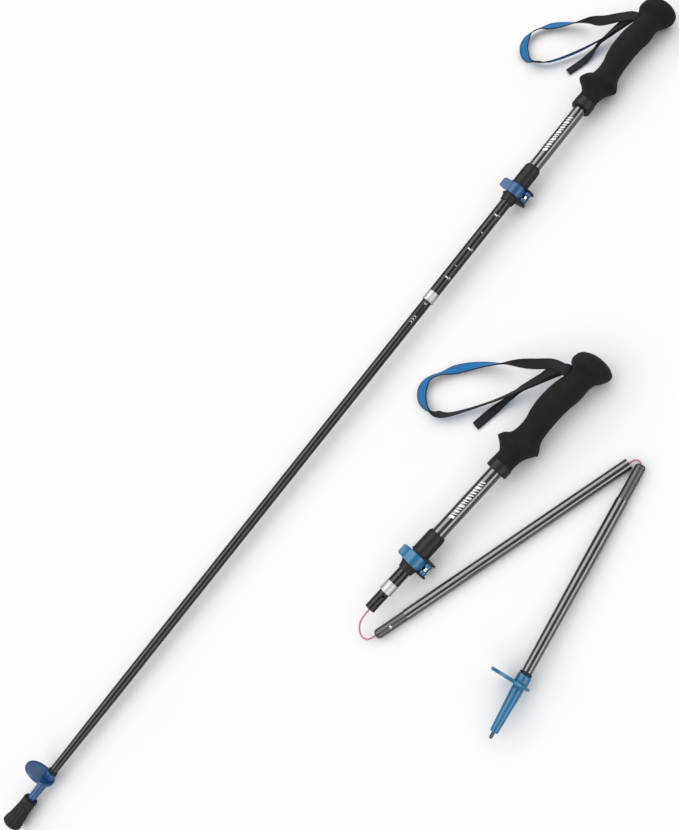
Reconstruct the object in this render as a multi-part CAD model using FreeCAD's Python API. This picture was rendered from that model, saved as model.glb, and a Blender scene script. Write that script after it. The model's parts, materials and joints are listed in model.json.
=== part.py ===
"""A pair of folding trekking poles: one fitted together straight, one half folded in a Z.

Millimetres, +Z up, lying on the plane z = 0.  Every pole piece is drawn in a pole frame: its z axis runs
along the pole from the tip to the grip, its x axis points to the side where the wrist strap leaves the
grip, and its y axis to the side that the clamp lever covers.  place() then lays the piece in its spot.
"""
import math
import os

import FreeCAD, Part

Vec = FreeCAD.Vector

# ---- tubes (outer diameters) -------------------------------------------------------------------
WALL = 0.7
UPPER_D = 16.0
ADJUST_D = 14.5
LOWER_D = 12.5
NARROW_D = 10.6
FERRULE_D = 11.0
FERRULE_BORE = 8.0
FERRULE_OUT = 41.0
FERRULE_IN = 30.0
FIT = 0.05
CORD_D = 2.0
CORD_LEAD = 60.0

# ---- grip end, measured up from the foot of the clamp ------------------------------------------
FUNNEL = 9.0
BAND = 16.0
SLEEVE = 30.0
CLAMP = FUNNEL + BAND + SLEEVE
UPPER_SHOWN = 92.0
GRIP = 165.0
GRIP_FOOT = CLAMP + UPPER_SHOWN
GRIP_END = GRIP_FOOT + GRIP
COLLAR = 11.5
TUBE_TOP = GRIP_FOOT + 118.0
STRAP_Z = GRIP_FOOT + 131.0

# foam grip outline: height above the grip's foot, then reach to strap side, palm side and sideways
GRIP_OUTLINE = (
    (11.5, 12.6, 12.1, 12.5), (19.0, 12.6, 12.1, 12.8), (26.0, 17.8, 13.1, 15.0), (32.0, 24.4, 15.2, 18.5),
    (38.0, 22.5, 18.9, 19.0), (43.0, 17.3, 21.2, 18.0), (47.0, 15.6, 19.9, 16.0), (55.5, 14.6, 15.2, 14.2),
    (64.0, 15.0, 13.5, 13.8), (76.0, 17.8, 12.6, 14.3), (91.0, 19.6, 12.3, 14.8), (106.0, 19.2, 13.3, 14.8),
    (118.0, 17.5, 15.0, 14.6), (131.0, 15.0, 14.3, 14.6), (139.0, 16.2, 15.7, 16.0), (143.5, 20.2, 18.9, 19.5),
    (148.0, 21.9, 21.7, 21.8), (154.0, 20.9, 24.2, 22.0), (158.0, 18.6, 23.6, 20.6), (162.0, 12.5, 18.5, 15.0),
    (165.0, 3.5, 9.5, 6.0))
CORE_R = 11.2
CORE_FOOT = 103.0
CORE_TOP = 146.0
PIN_X = 6.0
PIN_R = 1.5

# ---- lever clamp -------------------------------------------------------------------------------
BOLT_X = -15.0
BOLT_Y = 5.8
BARREL_R = 2.0
STUD_R = 1.5
HUB_R = 4.3
LUG_FRONT = 1.2
LUG_BACK = -7.0
LUG_END = -19.5
LEVER_WIDTH = 14.4
FLANGE_R = 11.4
FLANGE_IN = 0.6
FLANGE_OUT = 1.4
EAR_X = -14.5
EAR_Y = 4.0
EAR_R = 7.2
NUT_R = 5.0
NUT_T = 4.2
STUD_END = LUG_BACK - 0.3 - NUT_T - 0.3

# ---- telescope, measured up from the open end of the socket ------------------------------------
SOCKET = 25.0
RING = 14.0
RING_D = 15.2
BUTTON_Z = 21.0
BUTTON_D = 3.6
ADJUST_HIDDEN = 52.0
SCALE_SHOWN = 143.0
SCALE_FOLDED = 18.0
ADJUST_TOP = SOCKET + RING + SCALE_SHOWN + ADJUST_HIDDEN

# ---- tip, measured up from the point of the steel tip ------------------------------------------
STEEL_D = 3.5
STEEL_SHOWN = 7.0
SHANK_R = 1.5
CONE_FOOT_D = 8.2
CONE_TOP_D = 12.0
CONE_TOP = 56.5
NECK_D = 10.4
DISC_Z = 57.0
DISC_D = 42.0
DISC_SHIFT = 11.0
DISC_T = 2.6
COLLAR_TOP = 69.5
TIP_RING_TOP = 73.0
CAP_FOOT_D = 24.7
CAP_RIM_D = 18.0
CAP_LENGTH = 40.0
CAP_SOLE = 12.0

# ---- lengths of the folding tubes --------------------------------------------------------------
STRAIGHT_TUBES = (270.0, 270.0)
STRAIGHT_LAST = 181.0
FOLDED_MIDDLE = 286.0
FOLDED_LAST = 198.0

# ---- wrist strap -------------------------------------------------------------------------------
WEB_WIDTH = 12.0
WEB_T = 1.6
WEB_LIFT = 0.8

# ---- how the poles lie -------------------------------------------------------------------------
ROLL = 38.0
STRAIGHT_FOOT = Vec(0, 0, 14.1)
STRAIGHT_RISE = 0.0075
FOLDED_END = Vec(207, 508, 21)
FOLDED_HEADING = Vec(29, 373, 2.8)
MIDDLE_END = Vec(226, 490, 6.6)
MIDDLE_HEADING = Vec(102, 311, 0)
LOWER_END = Vec(339, 806, 5.8)
LOWER_HEADING = Vec(58, -308, 11.3)

# strap loops in plan, from where the strap comes down to the ground and back to it
STRAIGHT_LOOP = ((-47, 1249), (-62, 1256), (-85, 1259), (-113, 1252), (-139, 1242), (-154, 1233), (-161, 1222),
                 (-161, 1210), (-154, 1198), (-142, 1190), (-124, 1187), (-102, 1193), (-76, 1215), (-56, 1235))
STRAIGHT_RAMP = ((-15, 1266, 39), (-34, 1259, 31), (-50, 1248, 9))
STRAIGHT_TAIL = ((-52, 1240), (-56, 1226), (-61, 1210), (-71, 1189))
FOLDED_LOOP = ((187, 815), (172, 823), (155, 824), (139, 818), (112, 802), (90, 785), (75, 769), (67, 755), (68, 741),
               (77, 730), (91, 725), (106, 726), (121, 733), (146, 761), (170, 790))
FOLDED_RAMP = ((217, 843, 39), (204, 837, 32), (186, 814, 9))
FOLDED_TAIL = ((180, 806), (173, 790), (163, 768), (155, 741))

# core cord loops, from the end of one tube round to the end of the next; the lower one starts and ends a
# little way in, and a hair is left between it and the straight stretches
LOOP_INSET = 8.0
CORD_GAP = 0.4
FOLD_LOOPS = {
    "folded_cord_loop_upper": (
        (207, 508, 21), (206.2, 498, 19.8), (204.6, 489.5, 15.2), (205.8, 482, 9.6), (211.5, 477, 6.2),
        (218.5, 477.6, 5.6), (223.2, 482.2, 6.2), (226, 490, 6.6)),
    "folded_cord_loop_lower": (
        (325.41, 793.11, 6.6), (330.03, 807.2, 6.6), (334.59, 808.99, 6.3), (338.88, 806.62, 5.78),
        (340.48, 798.14, 6.09))}

# the row's origin, at the middle of the pair's footprint, in the layout's coordinates
ORIGIN = Vec(116.7, 649.97, 0)

NODES = {}


def save(name, shape):
    """Move one node to the row's origin and write its STEP file."""
    shape.translate(ORIGIN * -1)
    NODES[name] = shape
    shape.exportStep("parts/" + name + ".step")


def frame(start, heading, roll=ROLL):
    """The matrix that lays a pole frame at start, along heading, turned by roll about the pole."""
    along = Vec(heading).normalize()
    side = along.cross(Vec(0, 0, 1)).normalize()
    up = side.cross(along)
    turn = math.radians(roll)
    strap_side = up * math.sin(turn) - side * math.cos(turn)
    lever_side = along.cross(strap_side)
    return FreeCAD.Matrix(
        strap_side.x, lever_side.x, along.x, start.x,
        strap_side.y, lever_side.y, along.y, start.y,
        strap_side.z, lever_side.z, along.z, start.z,
        0, 0, 0, 1)


def place(shape, matrix, along=0.0):
    """Move a pole piece up its pole by along, then lay it in its frame."""
    lifted = shape.copy()
    lifted.translate(Vec(0, 0, along))
    return lifted.transformed(matrix, copy=True)


def rod(radius, low, high, x=0.0, y=0.0):
    """A round bar along the pole."""
    return Part.makeCylinder(radius, high - low, Vec(x, y, low), Vec(0, 0, 1))


def tube(outer, inner, low, high):
    """A round tube along the pole, given by its diameters."""
    return rod(outer / 2, low, high).cut(rod(inner / 2, low - 1, high + 1))


def turned(outline):
    """A solid of revolution about the pole, from a closed outline of (radius, z) points."""
    points = [Vec(r, 0, z) for r, z in outline]
    face = Part.Face(Part.makePolygon(points + points[:1]))
    return face.revolve(Vec(0, 0, 0), Vec(0, 0, 1), 360)


def block(x, y, z):
    """A box between the given (low, high) pairs."""
    return Part.makeBox(x[1] - x[0], y[1] - y[0], z[1] - z[0], Vec(x[0], y[0], z[0]))


# ---- grip end ----------------------------------------------------------------------------------
def strap_slot():
    """The flared slot that lets the strap swing a little about its pin."""
    low = STRAP_Z - WEB_WIDTH / 2 - 0.6
    points = [Vec(1.5, -3.6, low), Vec(12, -4.2, low), Vec(30, -8.5, low), Vec(30, 8.5, low), Vec(12, 4.2, low),
              Vec(1.5, 3.6, low)]
    return Part.Face(Part.makePolygon(points + points[:1])).extrude(Vec(0, 0, WEB_WIDTH + 1.2))


def grip_foam():
    """The foam grip, lofted through ovals, with the bore for the tube and the core and the strap slot."""
    rings = []
    for height, strap, palm, side in GRIP_OUTLINE:
        points = []
        for step in range(16):
            angle = 2 * math.pi * step / 16
            points.append(Vec((strap - palm) / 2 + (strap + palm) / 2 * math.cos(angle),
                              side * math.sin(angle), GRIP_FOOT + height))
        curve = Part.BSplineCurve()
        curve.interpolate(points, PeriodicFlag=True)
        rings.append(Part.Wire(curve.toShape()))
    foam = Part.makeLoft(rings, True, False)
    foam = foam.cut(rod(UPPER_D / 2 + FIT, GRIP_FOOT - 1, TUBE_TOP + 0.5))
    foam = foam.cut(rod(CORE_R + FIT, TUBE_TOP, GRIP_FOOT + CORE_TOP + 0.2))
    return foam.cut(strap_slot())


def grip_core():
    """The insert that closes the tube inside the head and holds the strap pin."""
    core = rod(UPPER_D / 2 - WALL - FIT, GRIP_FOOT + CORE_FOOT, TUBE_TOP + 0.5)
    core = core.fuse(rod(CORE_R, TUBE_TOP + 0.2, GRIP_FOOT + CORE_TOP))
    core = core.cut(strap_slot())
    return core.cut(rod(PIN_R + 0.02, STRAP_Z - 10, STRAP_Z + 10, PIN_X))


def grip_collar():
    """The hard collar under the foam, with a small round-over at its foot."""
    outer = 13.1
    low = GRIP_FOOT
    bore = UPPER_D / 2 + FIT
    return turned([(bore, low), (outer - 1.0, low), (outer, low + 1.0), (outer, low + COLLAR), (bore, low + COLLAR)])


def strap_pin():
    """The steel pin that the strap loops round."""
    return rod(PIN_R, STRAP_Z - 9.8, STRAP_Z + 9.8, PIN_X)


def upper_tube():
    """The widest tube, from inside the clamp to inside the head."""
    return tube(UPPER_D, UPPER_D - 2 * WALL, FUNNEL + 3, TUBE_TOP)


# ---- clamp -------------------------------------------------------------------------------------
def clamp_flange(low, high):
    """An egg-shaped plate: the outline that wraps a circle on the tube and a smaller one round the bolt."""
    reach, lean = math.hypot(EAR_X, EAR_Y), math.atan2(EAR_Y, EAR_X)
    spread = math.acos((FLANGE_R - EAR_R) / reach)
    corners = []
    for turn in (lean - spread, lean + spread):
        corners.append(Vec(FLANGE_R * math.cos(turn), FLANGE_R * math.sin(turn), low))
        corners.append(Vec(EAR_X + EAR_R * math.cos(turn), EAR_Y + EAR_R * math.sin(turn), low))
    corners = [corners[0], corners[1], corners[3], corners[2]]
    web = Part.Face(Part.makePolygon(corners + corners[:1])).extrude(Vec(0, 0, high - low))
    return web.fuse([rod(FLANGE_R, low, high), rod(EAR_R, low, high, EAR_X, EAR_Y)])


def clamp_body():
    """Funnel, recess for the lever between two flanges, and sleeve in one moulding, with its slit lug."""
    tube_seat = UPPER_D / 2 + FIT
    slide_bore = ADJUST_D / 2 + FIT
    seat = FUNNEL + 3
    body = turned([
        (slide_bore, 0), (8.7, 0), (10.75, FUNNEL), (9.5, FUNNEL + 0.4), (9.5, FUNNEL + BAND - 0.4),
        (10.7, FUNNEL + BAND), (10.7, CLAMP - 2.5), (9.6, CLAMP - 0.4), (9.2, CLAMP), (tube_seat, CLAMP),
        (tube_seat, seat), (slide_bore, seat)])
    low, high = FUNNEL + FLANGE_IN, FUNNEL + BAND - FLANGE_IN
    lug = block((LUG_END + 4.1, -7.6), (LUG_BACK, LUG_FRONT), (low, high))
    half = (LUG_FRONT - LUG_BACK) / 2
    lug = lug.fuse(rod(half, low, high, LUG_END + half, LUG_BACK + half))
    lug = lug.fuse([clamp_flange(FUNNEL - FLANGE_OUT, low), clamp_flange(high, FUNNEL + BAND + FLANGE_OUT)])
    lug = lug.cut(rod(9.0, 0, CLAMP))
    body = body.fuse(lug).removeSplitter()
    body = body.cut(block((LUG_END - 5, -7.0), (-3.6, -2.2), (low, high)))
    hole = Part.makeCylinder(STUD_R + 0.2, 20, Vec(BOLT_X, 4, FUNNEL + BAND / 2), Vec(0, -1, 0))
    return body.cut(hole)


def clamp_bolt():
    """Barrel pin and threaded stud in one piece, a T."""
    middle = FUNNEL + BAND / 2
    barrel = rod(BARREL_R, middle - LEVER_WIDTH / 2 + 0.3, middle + LEVER_WIDTH / 2 - 0.3, BOLT_X, BOLT_Y)
    return barrel.fuse(Part.makeCylinder(STUD_R, BOLT_Y - STUD_END, Vec(BOLT_X, BOLT_Y, middle), Vec(0, -1, 0)))


def clamp_nut():
    """The thumb nut on the back of the lug, with a scalloped rim."""
    middle = FUNNEL + BAND / 2
    start = Vec(BOLT_X, LUG_BACK - 0.3, middle)
    nut = Part.makeCylinder(NUT_R, NUT_T, start, Vec(0, -1, 0))
    for step in range(10):
        angle = 2 * math.pi * step / 10
        groove = Vec(BOLT_X + (NUT_R + 0.7) * math.cos(angle), 0, middle + (NUT_R + 0.7) * math.sin(angle))
        nut = nut.cut(Part.makeCylinder(1.2, 20, groove, Vec(0, -1, 0)))
    return nut.cut(Part.makeCylinder(STUD_R + FIT, 40, Vec(BOLT_X, 10, middle), Vec(0, -1, 0)))


def clamp_lever():
    """The cam lever: two cams on the barrel and a band over the clamp that ends in a thumb tab."""
    middle = FUNNEL + BAND / 2
    low = middle - LEVER_WIDTH / 2
    inner, outer = 10.2, 13.2
    ring = tube(2 * outer, 2 * inner, low, low + LEVER_WIDTH)
    start, stop = math.radians(24), math.radians(152)
    wedge = [Vec(0, 0, low)]
    for step in range(9):
        angle = start + (stop - start) * step / 8
        wedge.append(Vec(30 * math.cos(angle), 30 * math.sin(angle), low))
    band = ring.common(Part.Face(Part.makePolygon(wedge + wedge[:1])).extrude(Vec(0, 0, LEVER_WIDTH)))
    tab = [Vec(9.6, 3.8, low), (Vec(19.2, 2.6, low)), Vec(20.2, 3.6, low), Vec(19.8, 4.8, low), Vec(12.2, 7.6, low),
           Vec(10.6, 7.0, low)]
    tab = Part.Face(Part.makePolygon(tab + tab[:1])).extrude(Vec(0, 0, LEVER_WIDTH))
    lever = band.fuse(tab).fuse(rod(HUB_R, low, low + LEVER_WIDTH, BOLT_X, BOLT_Y))
    lever = lever.cut(rod(BARREL_R + FIT, low - 1, low + LEVER_WIDTH + 1, BOLT_X, BOLT_Y))
    lever = lever.cut(rod(HUB_R + 1.6, middle - 2.2, middle + 2.2, BOLT_X, BOLT_Y))
    return lever.cut(rod(9.9, low - 1, low + LEVER_WIDTH + 1))


# ---- telescope ---------------------------------------------------------------------------------
def adjust_tube():
    """The graduated tube, from inside the ring to inside the upper tube."""
    return tube(ADJUST_D, ADJUST_D - 2 * WALL, SOCKET + 5, ADJUST_TOP)


def adjust_bush():
    """The plug in the inner end of the adjusting tube, where the core cord is anchored."""
    top = ADJUST_TOP
    bush = rod(ADJUST_D / 2 - WALL - FIT, top - 14, top).fuse(rod(ADJUST_D / 2 - 0.1, top + 0.05, top + 2.5))
    bush = bush.fuse(rod(5.0, top - 0.5, top + 1))
    return bush.cut(rod(CORD_D / 2 + 0.1, top - 20, top + 5))


def ring():
    """The bright ring that closes the foot of the adjusting tube."""
    low, step, top = SOCKET, SOCKET + 4.5, SOCKET + RING
    socket_bore, tube_bore = LOWER_D / 2 + FIT, ADJUST_D / 2 + FIT
    return turned([(socket_bore, low), (RING_D / 2 - 0.4, low), (RING_D / 2, low + 0.5), (RING_D / 2, top - 0.5),
                   (RING_D / 2 - 0.2, top), (tube_bore, top), (tube_bore, step), (socket_bore, step)])


def radial_hole(diameter, height):
    """A round cutter towards the lever side, for the snap button."""
    return Part.makeCylinder(diameter / 2, 12, Vec(0, 0, height), Vec(0, 1, 0))


def socket_tube():
    """The short open tube that takes the first ferrule, with the hole for the snap button."""
    socket = tube(LOWER_D, LOWER_D - 2 * WALL, 0, SOCKET + RING + 30)
    return socket.cut(radial_hole(BUTTON_D + 0.5, BUTTON_Z))


def anchor_cord(end):
    """The core cord from its anchor in the bush down to the given height."""
    return rod(CORD_D / 2, end, ADJUST_TOP + 1)


# ---- folding sections, measured up from the lower end of their tube ----------------------------
def plain_section(length):
    """A straight folding tube."""
    return tube(LOWER_D, LOWER_D - 2 * WALL, 0, length)


def last_section(length):
    """The last tube, which narrows over its lower two thirds."""
    taper = length * 0.66
    outer = [(NARROW_D / 2, 0), (NARROW_D / 2, 4), (LOWER_D / 2, taper), (LOWER_D / 2, length)]
    inner = [(r - WALL, z) for r, z in reversed(outer)]
    return turned(outer + inner)


def ferrule(length, button):
    """The male ferrule glued in the top of a tube of that length, with its dark rounded nose."""
    radius, bore = FERRULE_D / 2, FERRULE_BORE / 2
    low, top = length - FERRULE_IN, length + FERRULE_OUT
    body = turned([(bore, low), (radius, low), (radius, top - 2.0), (radius - 0.9, top - 0.4),
                   (radius - 1.2, top), (bore, top)])
    if button:
        body = body.cut(radial_hole(BUTTON_D + 0.3, length + BUTTON_Z))
    return body


def snap_button(length, reach):
    """The button with its spring foot, standing out through the ferrule's wall."""
    height = length + BUTTON_Z
    stem = Part.makeCylinder(BUTTON_D / 2, reach - 3.0 - 0.6, Vec(0, 3.0, height), Vec(0, 1, 0))
    stem = stem.fuse(Part.makeCone(BUTTON_D / 2, BUTTON_D / 2 - 0.6, 0.6, Vec(0, reach - 0.6, height), Vec(0, 1, 0)))
    return stem.fuse(block((-1.2, 1.2), (2.7, 3.05), (height - 5, height + 5)))


def section_cord(low, high):
    """A straight stretch of the core cord."""
    return rod(CORD_D / 2, low, high)


# ---- tip, measured up from the point of the steel tip ------------------------------------------
def steel_tip():
    """The steel spike with a chamfered point."""
    radius = STEEL_D / 2
    return turned([(0, 0), (radius - 0.9, 0), (radius, 1.4), (radius, STEEL_SHOWN), (SHANK_R, STEEL_SHOWN),
                   (SHANK_R, 22), (0, 22)])


def tip_cone():
    """The blue tip holder: cone, neck for the basket, and a spigot in the last tube."""
    top = TIP_RING_TOP + 20
    spigot = NARROW_D / 2 - WALL - FIT
    shoulder = CONE_TOP_D / 2
    cone = turned([(0, STEEL_SHOWN), (CONE_FOOT_D / 2, STEEL_SHOWN), (shoulder, CONE_TOP - 4), (shoulder, CONE_TOP),
                   (NECK_D / 2, CONE_TOP), (NECK_D / 2, TIP_RING_TOP - 0.1), (spigot, TIP_RING_TOP - 0.1),
                   (spigot, top), (0, top)])
    cone = cone.cut(rod(SHANK_R + 0.02, -1, 22.02))
    return cone.cut(rod(CORD_D / 2 + 0.1, top - 12, top + 1))


def basket():
    """The basket: a thin round disc, set off to one side, and the faceted collar over the neck."""
    disc = rod(DISC_D / 2, DISC_Z, DISC_Z + DISC_T, DISC_SHIFT)
    rim = tube(DISC_D, DISC_D - 4, DISC_Z - 0.2, DISC_Z + DISC_T + 0.8)
    rim.translate(Vec(DISC_SHIFT, 0, 0))
    sides = 10
    corners = []
    for step in range(sides):
        angle = 2 * math.pi * step / sides
        corners.append(Vec(7.2 * math.cos(angle), 7.2 * math.sin(angle), DISC_Z))
    collar = Part.Face(Part.makePolygon(corners + corners[:1])).extrude(Vec(0, 0, COLLAR_TOP - DISC_Z))
    body = disc.fuse(rim).fuse(collar)
    return body.cut(rod(NECK_D / 2 + FIT, DISC_Z - 1, COLLAR_TOP + 1))


def tip_ring():
    """The black ring between the basket and the last tube."""
    return tube(NARROW_D + 1.6, NECK_D + 2 * FIT, COLLAR_TOP + 0.3, TIP_RING_TOP - 0.2)


def rubber_cap():
    """The rubber foot, a fluted bell with a socket for the tip, measured up from its sole."""
    foot, rim = CAP_FOOT_D / 2, CAP_RIM_D / 2
    gap = 0.35
    steel = STEEL_D / 2 + gap
    cone_start = CAP_SOLE + STEEL_SHOWN - 0.4
    slope = (CONE_TOP_D - CONE_FOOT_D) / 2 / (CONE_TOP - 4 - STEEL_SHOWN)
    mouth = CONE_FOOT_D / 2 + gap + slope * (CAP_LENGTH - cone_start)
    cap = turned([(0, 0), (foot - 1.0, 0), (foot, 1.2), (foot, 4.5), (foot - 1.6, 9), (rim + 0.2, 25), (rim, 33),
                  (rim + 0.3, 36), (rim + 0.3, 38.5), (rim - 0.9, CAP_LENGTH), (mouth, CAP_LENGTH),
                  (CONE_FOOT_D / 2 + gap, cone_start), (steel, cone_start), (steel, CAP_SOLE - 0.3),
                  (0, CAP_SOLE - 0.3)])
    for step in range(12):
        angle = 2 * math.pi * (step + 0.5) / 12
        out = Vec(math.cos(angle), math.sin(angle), 0)
        groove = Part.makeCylinder(1.3, 24, out * (foot + 0.6) + Vec(0, 0, 5), Vec(-out.x * 0.13, -out.y * 0.13, 1))
        cap = cap.cut(groove)
    return cap


# ---- soft pieces, drawn where they lie ---------------------------------------------------------
def curve_through(points, height, closed):
    """A smooth curve through plan points at one height."""
    curve = Part.BSplineCurve()
    curve.interpolate([Vec(x, y, height) for x, y in points], PeriodicFlag=closed)
    return curve


def beside(points, closed, distance):
    """Plan points moved sideways from the line that they make."""
    moved = []
    for index, (x, y) in enumerate(points):
        if closed:
            before, after = points[index - 1], points[(index + 1) % len(points)]
        else:
            before, after = points[max(index - 1, 0)], points[min(index + 1, len(points) - 1)]
        run = math.hypot(after[0] - before[0], after[1] - before[1])
        moved.append((x + distance * (after[1] - before[1]) / run, y - distance * (after[0] - before[0]) / run))
    return moved


def standing_loop(points):
    """Webbing on edge along a closed curve in plan."""
    outer = curve_through(beside(points, True, -WEB_T / 2), WEB_LIFT, True)
    inner = curve_through(beside(points, True, WEB_T / 2), WEB_LIFT, True)
    faces = [Part.Face(Part.Wire(curve.toShape())) for curve in (outer, inner)]
    faces.sort(key=lambda face: -face.Area)
    solids = [face.extrude(Vec(0, 0, WEB_WIDTH)) for face in faces]
    return solids[0].cut(solids[1])


def ramp(points):
    """The doubled webbing that comes down from the slot, in straight flat runs."""
    sections = []
    for x, y, z in points:
        low, high = Vec(x, y - WEB_WIDTH / 2, z), Vec(x, y + WEB_WIDTH / 2, z)
        deep = Vec(-0.6 * WEB_T, 0, -WEB_T)
        sections.append(Part.makePolygon([low - deep, high - deep, high + deep, low + deep, low - deep]))
    return Part.makeLoft(sections, True, True)


def lying_tail(points):
    """The loose end of the webbing, flat on the ground."""
    left, right = beside(points, False, WEB_WIDTH / 2), beside(points, False, -WEB_WIDTH / 2)
    outline = [Vec(x, y, WEB_LIFT) for x, y in left + right[::-1]]
    return Part.Face(Part.makePolygon(outline + outline[:1])).extrude(Vec(0, 0, WEB_T))


def strap(matrix, grip_end_at, loop, down, tail):
    """The wrist strap: its eye round the pin, the tongue in the slot, the loop and the loose tail."""
    low = STRAP_Z - WEB_WIDTH / 2
    tongue = rod(PIN_R + 2.0, low, low + WEB_WIDTH, PIN_X)
    tongue = tongue.fuse(block((PIN_X + 1, 24.0), (-WEB_T, WEB_T), (low, low + WEB_WIDTH)))
    tongue = tongue.cut(rod(PIN_R + FIT, low - 1, low + WEB_WIDTH + 1, PIN_X))
    tongue = place(tongue, matrix, grip_end_at)
    return tongue.fuse([ramp(down), standing_loop(loop), lying_tail(tail)])


def cord_tube(route):
    """A cord along the route: straight runs joined by tangent arcs as large as the runs allow."""
    points = [Vec(*point) for point in route]
    edges = []
    radii = []
    here = points[0]
    for before, corner, after in zip(points, points[1:], points[2:]):
        back, on = (before - corner), (after - corner)
        reach = 0.45 * min(back.Length, on.Length)
        back.normalize()
        on.normalize()
        turn = math.pi - back.getAngle(on)
        radius = reach / math.tan(turn / 2)
        radii.append(round(radius, 1))
        start, stop = corner + back * reach, corner + on * reach
        towards = (back + on).normalize()
        centre = corner + towards * math.hypot(radius, reach)
        middle = centre - towards * radius
        edges.append(Part.LineSegment(here, start).toShape())
        edges.append(Part.Arc(start, middle, stop).toShape())
        here = stop
    edges.append(Part.LineSegment(here, points[-1]).toShape())
    path = Part.Wire(edges)
    section = Part.Wire(Part.makeCircle(CORD_D / 2, points[0], points[1] - points[0]))
    solid = path.makePipeShell([section], True, False)
    ratio = solid.Volume / (path.Length * math.pi * CORD_D ** 2 / 4)
    print("cord length %.1f, arc radii %s, volume ratio %.3f" % (path.Length, radii, ratio))
    return solid


# ---- the poles ---------------------------------------------------------------------------------
def build_grip_end(name, matrix, at, loop, down, tail):
    """The pieces that hang together with the grip."""
    for piece in (grip_foam, grip_core, grip_collar, strap_pin, upper_tube, clamp_body, clamp_bolt, clamp_nut,
                  clamp_lever):
        save(name + "_" + piece.__name__, place(piece(), matrix, at))
    save(name + "_strap", strap(matrix, at, loop, down, tail))


def build_telescope(name, matrix, at, cord_end):
    """The graduated tube, its ring and the socket below it."""
    save(name + "_adjust_tube", place(adjust_tube(), matrix, at))
    save(name + "_adjust_bush", place(adjust_bush(), matrix, at))
    save(name + "_ring", place(ring(), matrix, at))
    save(name + "_socket_tube", place(socket_tube(), matrix, at))
    save(name + "_anchor_cord", place(anchor_cord(cord_end), matrix, at))


def build_section(name, matrix, at, length, cord, tapered=False, button_reach=0.0):
    """One folding tube with its ferrule and its stretch of core cord."""
    body = last_section(length) if tapered else plain_section(length)
    save(name + "_tube", place(body, matrix, at))
    save(name + "_ferrule", place(ferrule(length, button_reach > 0), matrix, at))
    save(name + "_cord", place(section_cord(*cord), matrix, at))
    if button_reach > 0:
        save(name + "_button", place(snap_button(length, button_reach), matrix, at))


def build_tip(name, matrix, at):
    """Tip holder, spike, basket and ring."""
    for piece in (tip_cone, steel_tip, basket, tip_ring):
        save(name + "_" + piece.__name__, place(piece(), matrix, at))


TIP_IN_TUBE = TIP_RING_TOP + 20
CORD_ANCHOR = TIP_IN_TUBE - 12

# the straight pole, measured up from the sole of its rubber foot
last_at = CAP_SOLE + TIP_RING_TOP
lower_ats = (last_at + STRAIGHT_LAST, last_at + STRAIGHT_LAST + STRAIGHT_TUBES[0])
socket_at = lower_ats[1] + STRAIGHT_TUBES[1]
straight_clamp_at = socket_at + SOCKET + RING + SCALE_SHOWN
straight_heading = Vec(0, 1, STRAIGHT_RISE)
straight = frame(STRAIGHT_FOOT, straight_heading)

# the folded pole: its grip section, its middle section (drawn from the ferrule end) and its lower one
folded = frame(FOLDED_END, FOLDED_HEADING)
folded_clamp_at = SOCKET + RING + SCALE_FOLDED
middle_foot = MIDDLE_END + Vec(MIDDLE_HEADING).normalize() * (FERRULE_OUT + FOLDED_MIDDLE)
middle = frame(middle_foot, MIDDLE_HEADING * -1, -ROLL)
lower_length = TIP_RING_TOP + FOLDED_LAST + FERRULE_OUT
lower_point = LOWER_END + Vec(LOWER_HEADING).normalize() * lower_length
lower = frame(lower_point, LOWER_HEADING * -1)


def main():
    """Build every node."""
    os.makedirs("parts", exist_ok=True)
    build_grip_end("straight", straight, straight_clamp_at, STRAIGHT_LOOP, STRAIGHT_RAMP, STRAIGHT_TAIL)
    build_telescope("straight", straight, socket_at, FERRULE_OUT - CORD_LEAD)
    reach = LOWER_D / 2 + 0.75
    build_section("straight_lower_1", straight, lower_ats[1], STRAIGHT_TUBES[1],
                  (-CORD_LEAD, STRAIGHT_TUBES[1] + FERRULE_OUT - CORD_LEAD), button_reach=reach)
    build_section("straight_lower_2", straight, lower_ats[0], STRAIGHT_TUBES[0],
                  (-CORD_LEAD, STRAIGHT_TUBES[0] - CORD_LEAD))
    build_section("straight_lower_3", straight, last_at, STRAIGHT_LAST,
                  (CORD_ANCHOR - TIP_RING_TOP, STRAIGHT_LAST - CORD_LEAD), tapered=True)
    build_tip("straight", straight, CAP_SOLE)
    save("straight_rubber_cap", place(rubber_cap(), straight))

    build_grip_end("folded", folded, folded_clamp_at, FOLDED_LOOP, FOLDED_RAMP, FOLDED_TAIL)
    build_telescope("folded", folded, 0.0, CORD_GAP)
    build_section("folded_middle", middle, 0.0, FOLDED_MIDDLE, (LOOP_INSET + CORD_GAP, FOLDED_MIDDLE + FERRULE_OUT - CORD_GAP),
                  button_reach=reach)
    build_section("folded_lower", lower, TIP_RING_TOP, FOLDED_LAST,
                  (CORD_ANCHOR - TIP_RING_TOP, FOLDED_LAST + FERRULE_OUT - LOOP_INSET - CORD_GAP), tapered=True)
    build_tip("folded", lower, 0.0)
    for name, route in FOLD_LOOPS.items():
        save(name, cord_tube(route))

    for name, shape in sorted(NODES.items()):
        box = shape.optimalBoundingBox()
        if not shape.isValid() or len(shape.Solids) != 1 or box.ZMin < 0.05:
            print("look at", name, shape.isValid(), len(shape.Solids), round(box.ZMin, 2))
    print(len(NODES), "nodes")


if __name__ == "__main__":
    main()
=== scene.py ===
"""A pair of folding trekking poles on a pale studio floor, one fitted together straight, one half folded.

Run as a script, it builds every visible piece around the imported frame.  Sizes are in millimetres in the
property groups and are turned to metres when a piece is laid on its pole.
"""
import json
import math

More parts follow.
